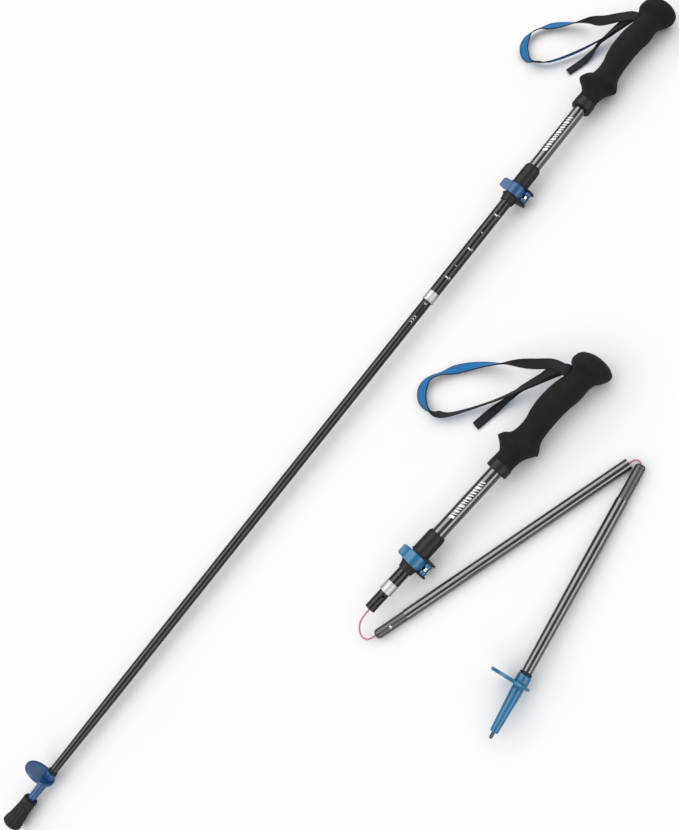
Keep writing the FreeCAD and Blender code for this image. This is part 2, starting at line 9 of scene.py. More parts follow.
import bmesh
import bpy
import numpy as np
from mathutils import Matrix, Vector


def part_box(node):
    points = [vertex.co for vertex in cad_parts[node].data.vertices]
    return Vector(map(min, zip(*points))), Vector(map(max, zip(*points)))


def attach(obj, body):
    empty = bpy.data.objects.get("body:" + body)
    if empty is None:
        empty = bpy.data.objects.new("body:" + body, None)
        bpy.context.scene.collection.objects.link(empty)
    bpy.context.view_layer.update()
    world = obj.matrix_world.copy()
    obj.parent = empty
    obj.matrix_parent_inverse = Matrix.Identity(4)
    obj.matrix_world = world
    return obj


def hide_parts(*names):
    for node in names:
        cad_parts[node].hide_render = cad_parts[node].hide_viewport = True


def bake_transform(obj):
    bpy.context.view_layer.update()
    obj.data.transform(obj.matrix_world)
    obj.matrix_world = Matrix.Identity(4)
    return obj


bl_info = {
    "name": "Trekking Pole Pair",
    "version": (1, 0, 0),
    "blender": (4, 5, 0),
    "location": "View3D > Sidebar > Poles",
    "description": "Builds a straight and a half folded trekking pole around a packed frame",
    "category": "Add Mesh",
}

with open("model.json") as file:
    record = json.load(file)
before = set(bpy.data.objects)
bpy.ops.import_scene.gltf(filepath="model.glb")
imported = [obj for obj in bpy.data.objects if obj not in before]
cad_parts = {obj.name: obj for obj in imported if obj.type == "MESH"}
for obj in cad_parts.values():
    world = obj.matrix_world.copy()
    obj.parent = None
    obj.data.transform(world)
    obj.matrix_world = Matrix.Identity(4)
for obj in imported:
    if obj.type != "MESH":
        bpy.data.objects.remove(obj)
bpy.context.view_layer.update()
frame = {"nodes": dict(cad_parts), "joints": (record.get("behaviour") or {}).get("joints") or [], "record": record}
JOINTS = {joint["name"]: joint for joint in frame["joints"]}
MOUNTS = {mount["name"]: mount for mount in frame["record"]["mounts"]}

MM = 0.001
TAU = 2 * math.pi
WEB_WIDTH = 12.0
ROLL = math.radians(38.0)
POLES = ("straight", "folded")

# outer and inner diameters of the upper, the graduated and the folding tubes, and the bore of grip and clamp
UPPER_TUBE, SCALE_TUBE, FOLDING_TUBE = (16.0, 14.6), (14.5, 13.1), (12.5, 11.1)
GRIP_BORE = 8.1
SCALE_TOP = 234.0

# heights along the grip end, from the foot of the clamp
BAND_LOW, BAND_HIGH = 9.0, 25.0
GRIP_FOOT = 147.0
STRAP_HEIGHT = 131.0
TUBE_IN_GRIP, BORE_DEPTH = 118.0, 118.5
BOLT_X, BOLT_Y = -15.0, 5.8
TUBE_SEAT = 12.0

# heights along the telescope, from the open end of the socket
SOCKET, RING_TOP = 25.0, 39.0
SCALE_SHOWN = {"straight": 143.0, "folded": 18.0}
FERRULE_OUT = 41.0

# heights along the tip, from the point of the spike
SPIKE_MOUNT = 4.2
COLLAR_TOP, TIP_RING_TOP = 69.5, 73.0
CAP_SOLE = 12.0
CORE_CORD = 2.0
PLAIT = 1.05 * MM


# ---- small geometry -----------------------------------------------------------------------------
def unit(vector):
    """The vector at length one."""
    vector = np.asarray(vector, float)
    return vector / np.linalg.norm(vector)


class Spot:
    """Where a stretch of pole lies: z runs along it to the grip, x to the strap side, y to the lever side."""

    def __init__(self, point, along):
        self.point = np.asarray(point, float)
        z = unit(along)
        side = unit(np.cross(z, (0.0, 0.0, 1.0)))
        up = np.cross(side, z)
        x = up * math.sin(ROLL) - side * math.cos(ROLL)
        self.axes = np.array([x, np.cross(z, x), z])

    def lay(self, local):
        """Points in millimetres on this stretch, as metres in the row frame."""
        return self.point + (np.asarray(local, float) * MM) @ self.axes

    def lifted(self, height):
        """The same stretch, counted from a point that many millimetres further along."""
        return Spot(self.lay((0.0, 0.0, height)), self.axes[2])


def tube_ends(node):
    """The middles of both ends of a CAD tube: the mean of the points within a hair of each end."""
    mesh = frame["nodes"][node].data
    points = np.zeros(len(mesh.vertices) * 3)
    mesh.vertices.foreach_get("co", points)
    points = np.unique(points.reshape(-1, 3).round(6), axis=0)
    centre = points.mean(axis=0)
    axis = np.linalg.svd(points - centre, full_matrices=False)[2][0]
    for _ in range(3):
        reach = (points - centre) @ axis
        low, high = (points[np.abs(reach - end) < 0.2 * MM].mean(axis=0) for end in (reach.min(), reach.max()))
        centre, axis = (low + high) / 2, unit(high - low)
    return low, high


def grip_spots():
    """The foot of each pole's clamp, worked out from its lever's pivot."""
    spots = {}
    for pole in POLES:
        along = -np.array(JOINTS["straight_cap_off" if pole == "straight" else "folded_length"]["axis"])
        spot = Spot(JOINTS[pole + "_clamp_lever_open"]["pos_m"], along)
        spots[pole] = Spot(spot.lay((-BOLT_X, -BOLT_Y, -(BAND_LOW + BAND_HIGH) / 2)), along)
    return spots


def middle_spot():
    """The middle section of the folded pole, from the open end of its tube."""
    ends = tube_ends("folded_middle_tube")
    ferrule = np.mean(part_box("folded_middle_ferrule"), axis=0)
    low, high = sorted(ends, key=lambda end: -np.linalg.norm(end - ferrule))
    return Spot(low, high - low)


GRIPS = grip_spots()
STRAIGHT = Spot(MOUNTS["rubber_foot"]["pos_m"], -np.array(MOUNTS["rubber_foot"]["axis"]))
MIDDLE = middle_spot()
LOWER = Spot(MOUNTS["steel_tip_end"]["pos_m"], -np.array(MOUNTS["steel_tip_end"]["axis"])).lifted(-SPIKE_MOUNT)
TIPS = {"straight": STRAIGHT.lifted(CAP_SOLE), "folded": LOWER}
TELESCOPES = {pole: GRIPS[pole].lifted(-RING_TOP - SCALE_SHOWN[pole]) for pole in POLES}


def flowing(stops, values, at):
    """Cubic through (stop, value) pairs that never overshoots: the slope at a stop is the harmonic mean of the
    slopes beside it, and nothing where they change sign."""
    stops, values = np.asarray(stops, float), np.asarray(values, float)
    widths = np.diff(stops)
    slopes = np.diff(values) / widths
    tangents = np.zeros_like(values)
    same = slopes[:-1] * slopes[1:] > 0
    total = np.where(same, slopes[:-1] + slopes[1:], 1.0)
    tangents[1:-1] = np.where(same, 2 * slopes[:-1] * slopes[1:] / total, 0.0)
    tangents[0], tangents[-1] = slopes[0], slopes[-1]
    at = np.clip(at, stops[0], stops[-1])
    index = np.clip(np.searchsorted(stops, at, side="right") - 1, 0, len(widths) - 1)
    share = (at - stops[index]) / widths[index]
    square, cube = share ** 2, share ** 3
    return (values[index] * (2 * cube - 3 * square + 1) + tangents[index] * widths[index] * (cube - 2 * square + share)
            + values[index + 1] * (3 * square - 2 * cube) + tangents[index + 1] * widths[index] * (cube - square))


def step_up(low, high, value):
    """Smooth step: 0 below low, 1 above high, 3t^2 - 2t^3 between."""
    share = np.clip((value - low) / (high - low), 0.0, 1.0)
    return share * share * (3 - 2 * share)


def eased(outline, steps=5, closed=True):
    """An outline of (x, y, rounding) corners as points: each corner is a quadratic curve that starts and ends
    its rounding away from the corner, at most 0.48 of the side."""
    corners = np.array([(x, y) for x, y, _ in outline], float)
    reach = np.array([rounding for _, _, rounding in outline], float)
    count = len(corners)
    points = []
    share = np.linspace(0, 1, steps + 1)[:, None]
    for index in range(count):
        if reach[index] <= 0 or (not closed and index in (0, count - 1)):
            points.append(corners[index][None])
            continue
        back = corners[index - 1] - corners[index]
        on = corners[(index + 1) % count] - corners[index]
        trim = min(reach[index], 0.48 * np.linalg.norm(back), 0.48 * np.linalg.norm(on))
        start, stop = corners[index] + unit(back) * trim, corners[index] + unit(on) * trim
        points.append(start * (1 - share) ** 2 + corners[index] * 2 * share * (1 - share) + stop * share ** 2)
    return np.concatenate(points)


# ---- meshes -------------------------------------------------------------------------------------
def skin(name, points, around=True, lengthwise=False, caps=True, uv=None, sharp=40.0, finish=None, sides=None):
    """A mesh over a grid of points: row after row, each row round the piece.  around and lengthwise close the
    grid on itself; caps closes the first and last rows.  The UV map counts metres along both ways unless uv is
    given; sides, one number for each quad of a row, picks the material."""
    rows, columns = points.shape[:2]
    row = np.arange(rows if lengthwise else rows - 1)
    column = np.arange(columns if around else columns - 1)
    row, column = (part.ravel() for part in np.meshgrid(row, column, indexing="ij"))
    below, above = row * columns, (row + 1) % rows * columns
    after = (column + 1) % columns
    quads = np.stack([below + column, below + after, above + after, above + column], axis=1)
    faces = quads.tolist()
    if caps and around and not lengthwise:
        faces.append(list(range(columns))[::-1])
        faces.append([(rows - 1) * columns + place for place in range(columns)])
    mesh = bpy.data.meshes.new(name)
    mesh.from_pydata(points.reshape(-1, 3), [], faces)
    if uv is None:
        wide = np.concatenate([points, points[:, :1]], axis=1) if around else points
        tall = np.concatenate([wide, wide[:1]], axis=0) if lengthwise else wide
        girth = np.linalg.norm(np.diff(tall, axis=1), axis=2).mean(axis=0)
        length = np.linalg.norm(np.diff(tall, axis=0), axis=2).mean(axis=1)
        u = np.concatenate([[0.0], np.cumsum(girth)])
        v = np.concatenate([[0.0], np.cumsum(length)])
        uv = np.stack(np.broadcast_arrays(u[None, :], v[:, None]), axis=2)
    corners = np.stack([uv[row, column], uv[row, column + 1], uv[row + 1, column + 1], uv[row + 1, column]], axis=1)
    flat = np.zeros((len(mesh.loops), 2))
    flat[:corners.shape[0] * 4] = corners.reshape(-1, 2)
    mesh.uv_layers.new(name="UVMap").data.foreach_set("uv", flat.ravel())
    mesh.shade_smooth()
    mesh.set_sharp_from_angle(angle=math.radians(sharp))
    piece = bpy.data.objects.new(name, mesh)
    bpy.context.scene.collection.objects.link(piece)
    for material in finish if isinstance(finish, (list, tuple)) else [finish]:
        if material:
            mesh.materials.append(material)
    if sides is not None:
        index = np.zeros(len(mesh.polygons), int)
        index[:len(quads)] = np.asarray(sides)[column]
        mesh.polygons.foreach_set("material_index", index)
    return piece


def turned(name, outline, spot, finish, hollow=False, facets=72, steps=5, sharp=40.0):
    """A turned piece: the outline of (radius, height, rounding) corners goes round the pole, x = r cos a,
    y = r sin a.  A hollow piece's outline runs up the outside and down the bore."""
    shape = eased(outline, steps, closed=hollow)
    angle = np.linspace(0, TAU, facets, endpoint=False)
    radius, height = shape[:, :1], shape[:, 1:]
    local = np.stack(np.broadcast_arrays(radius * np.cos(angle), radius * np.sin(angle), height), axis=2)
    return skin(name, spot.lay(local), lengthwise=hollow, finish=finish, sharp=sharp)


def slab(name, outline, low, high, ease, spot, finish):
    """A plate: an outline of (x, y) points drawn up the pole, its two rims eased by a quarter round, where a
    point moves in along its own normal by ease (1 - cos a)."""
    outline = np.asarray(outline, float)
    ahead = np.roll(outline, -1, axis=0) - np.roll(outline, 1, axis=0)
    inward = np.stack([-ahead[:, 1], ahead[:, 0]], axis=1) / np.linalg.norm(ahead, axis=1, keepdims=True)
    turn = np.linspace(0, math.pi / 2, 5)
    inset = np.concatenate([ease * (1 - np.sin(turn)), ease * (1 - np.sin(turn[::-1]))])
    height = np.concatenate([low + ease * (1 - np.cos(turn)), high - ease * (1 - np.cos(turn[::-1]))])
    local = np.zeros((len(inset), len(outline), 3))
    local[:, :, :2] = outline[None] + inward[None] * inset[:, None, None]
    local[:, :, 2] = height[:, None]
    return skin(name, spot.lay(local), finish=finish)


def arc(centre, radius, start, stop, count):
    """Points on a circle from start to stop degrees."""
    angle = np.radians(np.linspace(start, stop, count))
    return np.stack([centre[0] + radius * np.cos(angle), centre[1] + radius * np.sin(angle)], axis=1)


def settle(piece, body, slot, *nodes):
    """The piece moves with the body and stands for the CAD nodes, which it hides; slot is not used."""
    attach(piece, body)
    if nodes:
        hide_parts(*nodes)
    return piece


# ---- shader maths -------------------------------------------------------------------------------
class Wire:
    """A shader socket that takes part in Python sums: +, -, * and / add Math nodes."""

    def __init__(self, graph, socket):
        self.graph, self.socket = graph, socket

    def __add__(self, other):
        return self.graph.maths("ADD", self, other)

    def __radd__(self, other):
        return self.graph.maths("ADD", other, self)

    def __sub__(self, other):
        return self.graph.maths("SUBTRACT", self, other)

    def __rsub__(self, other):
        return self.graph.maths("SUBTRACT", other, self)

    def __mul__(self, other):
        return self.graph.maths("MULTIPLY", self, other)

    def __rmul__(self, other):
        return self.graph.maths("MULTIPLY", other, self)

    def __truediv__(self, other):
        return self.graph.maths("DIVIDE", self, other)


class Graph:
    """One material's nodes."""

    def __init__(self, name):
        self.material = bpy.data.materials.new(name)
        self.material.use_nodes = True
        self.tree = self.material.node_tree
        self.shader = self.tree.nodes["Principled BSDF"]

    def node(self, kind, settings=None, **values):
        """A node of that type, its settings made first, then the values or links of its sockets."""
        made = self.tree.nodes.new(kind)
        for name, value in (settings or {}).items():
            setattr(made, name, value)
        for name, value in values.items():
            self.feed(made.inputs[int(name[1:]) if name[0] == "i" and name[1:].isdigit() else name], value)
        return made

    def feed(self, socket, value):
        """Link or set one socket."""
        if isinstance(value, Wire):
            self.tree.links.new(value.socket, socket)
        elif isinstance(value, bpy.types.NodeSocket):
            self.tree.links.new(value, socket)
        else:
            socket.default_value = value

    def maths(self, operation, first, second=0.0):
        made = self.node("ShaderNodeMath", {"operation": operation}, i0=first, i1=second)
        return Wire(self, made.outputs[0])

    def spread(self, value, low, high, to_low=0.0, to_high=1.0):
        """The value's span from low to high, as a smooth span from to_low to to_high."""
        made = self.node("ShaderNodeMapRange", {"interpolation_type": "SMOOTHSTEP"}, Value=value)
        for place, number in zip((1, 2, 3, 4), (low, high, to_low, to_high)):
            made.inputs[place].default_value = number
        return Wire(self, made.outputs[0])

    def place(self, shrink=(1.0, 1.0, 1.0), mapped=False, turn=0.0):
        """Object coordinates, or the UV map in metres, turned about z and then divided by shrink."""
        source = self.node("ShaderNodeTexCoord").outputs["UV" if mapped else "Object"]
        made = self.node("ShaderNodeMapping", {"vector_type": "TEXTURE"}, Vector=source, Scale=shrink,
                         Rotation=(0.0, 0.0, turn))
        return made.outputs[0]

    def along(self, axis=0):
        """One way of the UV map, in metres."""
        split = self.node("ShaderNodeSeparateXYZ", None, Vector=self.place(mapped=True))
        return Wire(self, split.outputs[axis])

    def noise(self, scale, detail=2.0, rough=0.5, where=None):
        made = self.node("ShaderNodeTexNoise", None, Vector=where or self.place(), Scale=scale, Detail=detail,
                         Roughness=rough)
        return Wire(self, made.outputs[0])

    def cells(self, scale):
        made = self.node("ShaderNodeTexVoronoi", Vector=self.place(), Scale=scale)
        return Wire(self, made.outputs["Distance"])

    def mix(self, share, first, second):
        """A colour between two."""
        made = self.node("ShaderNodeMix", {"data_type": "RGBA"})
        self.feed(made.inputs[0], share)
        self.feed(made.inputs[6], first)
        self.feed(made.inputs[7], second)
        return made.outputs[2]

    def bump(self, height, strength, distance):
        made = self.node("ShaderNodeBump", Height=height, Strength=strength, Distance=distance)
        return made.outputs[0]

    def finish(self, colour, rough, normal=None, **fixed):
        """Feed the shader and hand back the material."""
        self.feed(self.shader.inputs["Base Color"], colour)
        self.feed(self.shader.inputs["Roughness"], rough)
        if normal:
            self.feed(self.shader.inputs["Normal"], normal)
        for name, value in fixed.items():
            self.shader.inputs[name.replace("_", " ")].default_value = value
        return self.material


def rgb(red, green, blue):
    return (red, green, blue, 1.0)


DRAWN = (1.0, 80.0, 1.0)


def foam_finish(colour):
    """Moulded closed-cell foam: a pebbled skin of small cells, a few deeper pores and rubbed, greyer highs."""
    graph = Graph("grip_foam")
    pebble = graph.cells(1100.0)
    pore = graph.cells(420.0)
    cloud = graph.noise(60.0, 4.0, 0.6)
    rubbed = graph.spread(cloud, 0.42, 0.7)
    tint = graph.mix(rubbed * 0.7, colour, tuple(channel * 1.75 for channel in colour[:3]) + (1.0,))
    height = graph.maths("POWER", pebble, 1.6) * 0.8 + graph.spread(pore, 0.02, 0.16) * 0.35
    height = height + graph.noise(3200.0, 2.0) * 0.25
    normal = graph.bump(height, 0.55, 0.00035)
    return graph.finish(tint, 0.78 + cloud * 0.2, normal, Sheen_Weight=0.04, Sheen_Roughness=0.5,
                        Specular_IOR_Level=0.08)


def moulding_finish(name, colour, rough, grain=0.4, coat=0.0):
    """Moulded plastic: fine spark-eroded grain, faint flow marks and worn spots that shine a little."""
    graph = Graph(name)
    flow = graph.noise(40.0, 3.0, 0.55)
    grit = graph.noise(2600.0, 3.0, 0.6)
    worn = graph.spread(graph.noise(260.0, 4.0, 0.7), 0.58, 0.75)
    lighter = tuple(min(1.0, channel * 1.25 + 0.004) for channel in colour[:3]) + (1.0,)
    tint = graph.mix(flow * 0.45 + worn * 0.2, colour, lighter)
    normal = graph.bump(grit, grain, 0.00006)
    return graph.finish(tint, rough + grit * 0.12 - worn * 0.1, normal, Coat_Weight=coat, Coat_Roughness=0.12,
                        Specular_IOR_Level=0.16)


def tube_finish(colour, name="black_tube", mapped=True, rough=0.14, gloss=1.0):
    """Black anodised tube: a hard clear skin over drawn metal with hair scratches along the tube."""
    graph = Graph(name)
    grain = graph.place(DRAWN, mapped)
    drawn = graph.noise(900.0, 2.0, 0.5, grain)
    scratch = graph.spread(graph.noise(2600.0, 1.0, 0.4, grain), 0.7, 0.76)
    smear = graph.noise(45.0, 3.0, 0.6)
    tint = graph.mix(scratch * 0.5 + drawn * 0.12, colour, rgb(0.09, 0.09, 0.095))
    normal = graph.bump(drawn, 0.03, 0.00003)
    return graph.finish(tint, rough + smear * 0.1 + scratch * 0.15, normal, Specular_IOR_Level=gloss)


def metal_finish(name, colour, rough, brushed=0.0, lengthwise=False, mapped=True, turn=0.0):
    """Bare or anodised metal with a brushed grain round or along the piece."""
    graph = Graph(name)
    grain = graph.noise(3600.0, 3.0, 0.6, graph.place(DRAWN if lengthwise else DRAWN[::-1], mapped, turn))
    smear = graph.noise(110.0, 4.0, 0.6)
    darker = tuple(channel * 0.72 for channel in colour[:3]) + (1.0,)
    tint = graph.mix(grain * 0.35 + smear * 0.35, colour, darker)
    normal = graph.bump(grain, brushed, 0.00004)
    return graph.finish(tint, rough + grain * 0.14 + smear * 0.06, normal, Metallic=1.0)


def rubber_finish(colour):
    """Tip rubber: matt and dusty, with scuffs that pick up grey."""
    graph = Graph("tip_rubber")
    dust = graph.spread(graph.noise(140.0, 5.0, 0.7), 0.48, 0.72)
    grit = graph.noise(2200.0, 4.0, 0.65)
    tint = graph.mix(dust * 0.4, colour, rgb(0.07, 0.069, 0.066))
    normal = graph.bump(grit + dust * 0.4, 0.4, 0.0001)
    return graph.finish(tint, 0.7 + dust * 0.2, normal, Specular_IOR_Level=0.15)


def webbing_finish(name, face, edge, thread=0.0009, dotted=None):
    """Flat woven webbing: ribs across, warp threads along with painted shade in the gaps between the raised threads, a
    woven selvedge, and a printed dot row if asked.
    """
    graph = Graph(name)
    across, along = graph.along(0), graph.along(1)
    warp = graph.maths("SINE", across * (TAU / thread))
    weft = graph.maths("SINE", along * (TAU / (thread * 1.5)) + warp * 1.4)
    weave = weft * 0.6 + warp * 0.4
    fuzz = graph.noise(3800.0, 3.0, 0.7)
    # painted shade and highlight: the raised threads of the weave are drawn lighter and the gaps between them darker;
    # the fuzz lightens at random
    tint = graph.mix(graph.spread(weave, -1.0, 1.0) * 0.55 + fuzz * 0.35, face,
                     tuple(min(1.0, channel * 1.9 + 0.01) for channel in face[:3]) + (1.0,))
    middle = graph.maths("ABSOLUTE", across - WEB_WIDTH * MM / 2)
    rim = graph.spread(middle, WEB_WIDTH * MM * 0.36, WEB_WIDTH * MM * 0.4)
    tint = graph.mix(rim, tint, edge)
    if dotted:
        beat = graph.maths("PINGPONG", along, 0.002)
        spot = graph.maths("SQRT", graph.maths("POWER", beat - 0.001, 2.0)
                           + graph.maths("POWER", middle - WEB_WIDTH * MM * 0.2, 2.0))
        tint = graph.mix(graph.spread(spot, 0.00045, 0.0007, 1.0, 0.0), tint, dotted)
    normal = graph.bump(weave + fuzz * 0.5, 0.6, 0.00025)
    return graph.finish(tint, 0.75 + fuzz * 0.15, normal, Sheen_Weight=0.06, Sheen_Roughness=0.4,
                        Specular_IOR_Level=0.15)


def cord_finish(colour, name="core_cord", mapped=True):
    """Braided elastic cord: two crossing helical plaits with painted shade in the grooves between them, and a fleck of
    paler yarn.
    """
    graph = Graph(name)
    if mapped:
        around, along = graph.along(0), graph.along(1)
        one = graph.maths("SINE", (around + along) * (TAU / PLAIT))
        two = graph.maths("SINE", (around - along) * (TAU / PLAIT))
    else:
        one, two = (graph.noise(scale, 2.0) * 2.0 - 1.0 for scale in (900.0, 1300.0))
    plait = graph.maths("MAXIMUM", one, two)
    fleck = graph.spread(one * two, 0.35, 0.8)
    # painted shade: the grooves between the plaits are drawn darker, down to 0.45 of the cord's colour
    tint = graph.mix(graph.spread(plait, -0.2, 1.0, 0.55, 0.0), colour, tuple(c * 0.45 for c in colour[:3]) + (1.0,))
    tint = graph.mix(fleck * 0.35, tint, rgb(0.95, 0.75, 0.76))
    normal = graph.bump(plait, 0.7, 0.00025)
    return graph.finish(tint, 0.7, normal, Sheen_Weight=0.3)


def paint_finish(name, colour, rough=0.35):
    """Printed ink, a shade uneven."""
    graph = Graph(name)
    patch = graph.noise(900.0, 3.0, 0.6)
    tint = graph.mix(patch * 0.25, colour, tuple(channel * 0.8 for channel in colour[:3]) + (1.0,))
    return graph.finish(tint, rough + patch * 0.1)


# ---- sizes and colours that can be changed --------------------------------------------------------
class PoleSizes(bpy.types.PropertyGroup):
    """Sizes in millimetres."""

    grip_crease: bpy.props.FloatProperty(
        name="Crease", description="How far the crease on the grip's flange stands out", default=1.1, min=0.0,
        max=2.0)
    web_thickness: bpy.props.FloatProperty(
        name="Webbing", description="Thickness of the wrist strap", default=1.3, min=0.8, max=1.6)
    flute_depth: bpy.props.FloatProperty(
        name="Flutes", description="Depth of the grooves in the rubber foot", default=1.1, min=0.0, max=1.5)
    lever_thickness: bpy.props.FloatProperty(
        name="Lever", description="Thickness of the clamp lever's band", default=3.0, min=2.0, max=3.0)
    tick_width: bpy.props.FloatProperty(
        name="Ticks", description="Width of the marks of the length scale", default=1.0, min=0.5, max=2.0)


def colour_property(name, description, default):
    return bpy.props.FloatVectorProperty(
        name=name, description=description, default=default, subtype="COLOR", size=4, min=0.0, max=1.0)


class PoleColours(bpy.types.PropertyGroup):
    """Colours, as linear red, green, blue and alpha."""

    foam: colour_property("Foam", "Foam of the grips", rgb(0.0095, 0.0095, 0.0098))
    moulding: colour_property("Moulding", "Black moulded plastic", rgb(0.0085, 0.0087, 0.0093))
    tube: colour_property("Tube", "Anodised tubes", rgb(0.006, 0.006, 0.0065))
    ferrule: colour_property("Ferrule", "Ferrules between sections", rgb(0.07, 0.07, 0.069))
    ring: colour_property("Ring", "Bright ring under the scale", rgb(0.36, 0.36, 0.365))
    steel: colour_property("Steel", "Bolts and pins", rgb(0.62, 0.61, 0.6))
    tip_steel: colour_property("Tip steel", "Spikes", rgb(0.07, 0.062, 0.056))
    cord: colour_property("Core cord", "Elastic cord inside the sections", rgb(0.62, 0.2, 0.24))
    webbing: colour_property("Webbing", "Dark face of the straps", rgb(0.005, 0.0048, 0.0075))
    webbing_blue: colour_property("Webbing, blue face", "Blue face of the straps", rgb(0.008, 0.13, 0.34))
    rubber: colour_property("Rubber", "Foot", rgb(0.012, 0.0118, 0.0115))
    print_white: colour_property("Print", "Marks on the tubes", rgb(0.85, 0.85, 0.84))
    blue_straight: colour_property("Blue, straight pole", "Lever, basket and tip", rgb(0.014, 0.075, 0.21))
    blue_folded: colour_property("Blue, folded pole", "Lever, basket and tip", rgb(0.01, 0.14, 0.285))


FINISHES = {}


def finish(name):
    """The finish of that name, made when it is first asked for."""
    if name not in FINISHES:
        colours = bpy.context.scene.pole_colours
        makers = {
            "grip_foam": lambda: foam_finish(tuple(colours.foam)),
            "black_plastic": lambda: moulding_finish(name, tuple(colours.moulding), 0.42, 0.5),
            "black_tube": lambda: tube_finish(tuple(colours.tube)),
            "black_tube_satin": lambda: tube_finish(tuple(colours.tube), name, rough=0.15, gloss=0.28),
            "black_tube_cut": lambda: tube_finish(tuple(colours.tube), name, mapped=False, rough=0.24, gloss=0.2),
            "ferrule_grey": lambda: metal_finish(name, tuple(colours.ferrule), 0.36, 0.25, lengthwise=True),
            "ferrule_cut": lambda: metal_finish(name, tuple(colours.ferrule), 0.36, 0.25, lengthwise=True,
                                                mapped=False, turn=MIDDLE_TURN),
            "ring_bright": lambda: metal_finish(name, tuple(colours.ring), 0.46, 0.3),
            "steel_dark": lambda: metal_finish(name, tuple(colours.tip_steel), 0.42, 0.3),
            "steel_cut": lambda: metal_finish(name, tuple(colours.steel), 0.16, 0.1, mapped=False),
            "core_cord": lambda: cord_finish(tuple(colours.cord)),
            "core_cord_cut": lambda: cord_finish(tuple(colours.cord), name, mapped=False),
            "web_dark": lambda: webbing_finish(name, tuple(colours.webbing), rgb(0.005, 0.005, 0.007)),
            "web_blue": lambda: webbing_finish(name, tuple(colours.webbing_blue), rgb(0.008, 0.045, 0.11),
                                               dotted=rgb(0.006, 0.03, 0.09)),
            "tip_rubber": lambda: rubber_finish(tuple(colours.rubber)),
            "print_white": lambda: paint_finish(name, tuple(colours.print_white)),
            "blue_straight": lambda: moulding_finish(name, tuple(colours.blue_straight), 0.34, 0.35, 0.25),
            "blue_folded": lambda: moulding_finish(name, tuple(colours.blue_folded), 0.3, 0.35, 0.3),
        }
        FINISHES[name] = makers[name]()
    return FINISHES[name]


def redress(name, *nodes):
    """Give CAD pieces that keep their own shape a finish."""
    for node in nodes:
        piece = frame["nodes"][node]
        if not piece.material_slots:
            piece.data.materials.append(finish(name))
        for place in piece.material_slots:
            place.material = finish(name)


MIDDLE_TURN = math.atan2(MIDDLE.axes[2][1], MIDDLE.axes[2][0]) - math.pi / 2


# ---- the grip -----------------------------------------------------------------------------------
# height above the grip's foot, then reach to the strap side, to the palm side and sideways
GRIP_OUTLINE = np.array((
    (11.5, 12.6, 12.1, 12.5), (19.0, 12.6, 12.1, 12.8), (26.0, 17.8, 13.1, 15.0), (32.0, 24.4, 15.2, 18.5),
    (38.0, 22.5, 18.9, 19.0), (43.0, 17.3, 21.2, 18.0), (47.0, 15.6, 19.9, 16.0), (55.5, 14.6, 15.2, 14.2),
    (64.0, 15.0, 13.5, 13.8), (76.0, 17.8, 12.6, 14.3), (91.0, 19.6, 12.3, 14.8), (106.0, 19.2, 13.3, 14.8),
    (118.0, 17.5, 15.0, 14.6), (131.0, 15.0, 14.3, 14.6), (139.0, 16.2, 15.7, 16.0), (143.5, 20.2, 18.9, 19.5),
    (148.0, 21.9, 21.7, 21.8), (154.0, 20.9, 24.2, 22.0), (158.0, 18.6, 23.6, 20.6), (162.0, 12.5, 18.5, 15.0),
    (164.2, 6.0, 12.5, 8.6), (165.0, -2.95, 3.05, 0.05)))
COLLAR = 11.5


def foam_grid(crease, rows=170, columns=132):
    """The foam: at each height an oval, x = (s - p)/2 + (s + p)/2 cos a, y = w sin a, whose reaches s, p and w
    flow through the outline.  A crease runs slantwise round the flange, where the skin stands out by
    crease exp(-|h - h0| / 2.4), h0 = 37.5 - 5.5 cos a.  The slot for the strap is pressed in where y is small.
    The bore for the tube comes first, from its blind end down to the foot."""
    share = np.linspace(0, 1, rows)
    height = GRIP_OUTLINE[0, 0] + (GRIP_OUTLINE[-1, 0] - GRIP_OUTLINE[0, 0]) * (1 - (1 - share) ** 1.25)
    strap, palm, side = (flowing(GRIP_OUTLINE[:, 0], GRIP_OUTLINE[:, way], height)[:, None] for way in (1, 2, 3))
    angle = np.linspace(0, TAU, columns, endpoint=False)[None, :]
    tall = height[:, None]
    ridge = crease * np.exp(-np.abs(tall - 37.5 + 5.5 * np.cos(angle)) / 2.4)
    x = (strap - palm) / 2 + ((strap + palm) / 2 + ridge) * np.cos(angle)
    y = (side + ridge) * np.sin(angle)
    from_slot = np.abs(tall - STRAP_HEIGHT)
    pressed = (1 - step_up(5.6, 8.0, from_slot)) * (1 - step_up(2.6, 4.6, np.abs(y))) * (np.cos(angle) > 0)
    x = x - 8.5 * pressed
    outside = np.stack(np.broadcast_arrays(x, y, tall + GRIP_FOOT), axis=2)
    bore = np.array([[GRIP_FOOT + BORE_DEPTH], [GRIP_FOOT + BORE_DEPTH / 2], [GRIP_FOOT]])
    bore = np.stack(np.broadcast_arrays(GRIP_BORE * np.cos(angle), GRIP_BORE * np.sin(angle), bore), axis=2)
    return np.concatenate([bore, outside])


class POLES_OT_grips(bpy.types.Operator):
    """Build the foam grips with their collars"""

    bl_idname = "poles.grips"
    bl_label = "Grips"

    def execute(self, context):
        sizes = context.scene.pole_sizes
        for pole in POLES:
            spot, body = GRIPS[pole], pole + "_handle"
            foam = skin(pole + "_foam_grip", spot.lay(foam_grid(sizes.grip_crease)), finish=finish("grip_foam"),
                        sharp=60.0)
            settle(foam, body, "grip_foam", pole + "_grip_foam")
            low, high = GRIP_FOOT, GRIP_FOOT + COLLAR
            outline = [(GRIP_BORE, low, 0.4), (12.3, low, 0.6), (13.1, low + 1.2, 0.8), (13.1, high - 0.3, 0.3),
                       (12.4, high, 0.2), (GRIP_BORE, high, 0.2)]
            collar = turned(pole + "_collar", outline, spot, finish("black_plastic"), hollow=True)
            settle(collar, body, "black_plastic", pole + "_grip_collar")
            redress("black_plastic", pole + "_grip_core")
            redress("steel_cut", pole + "_strap_pin")
        return {"FINISHED"}


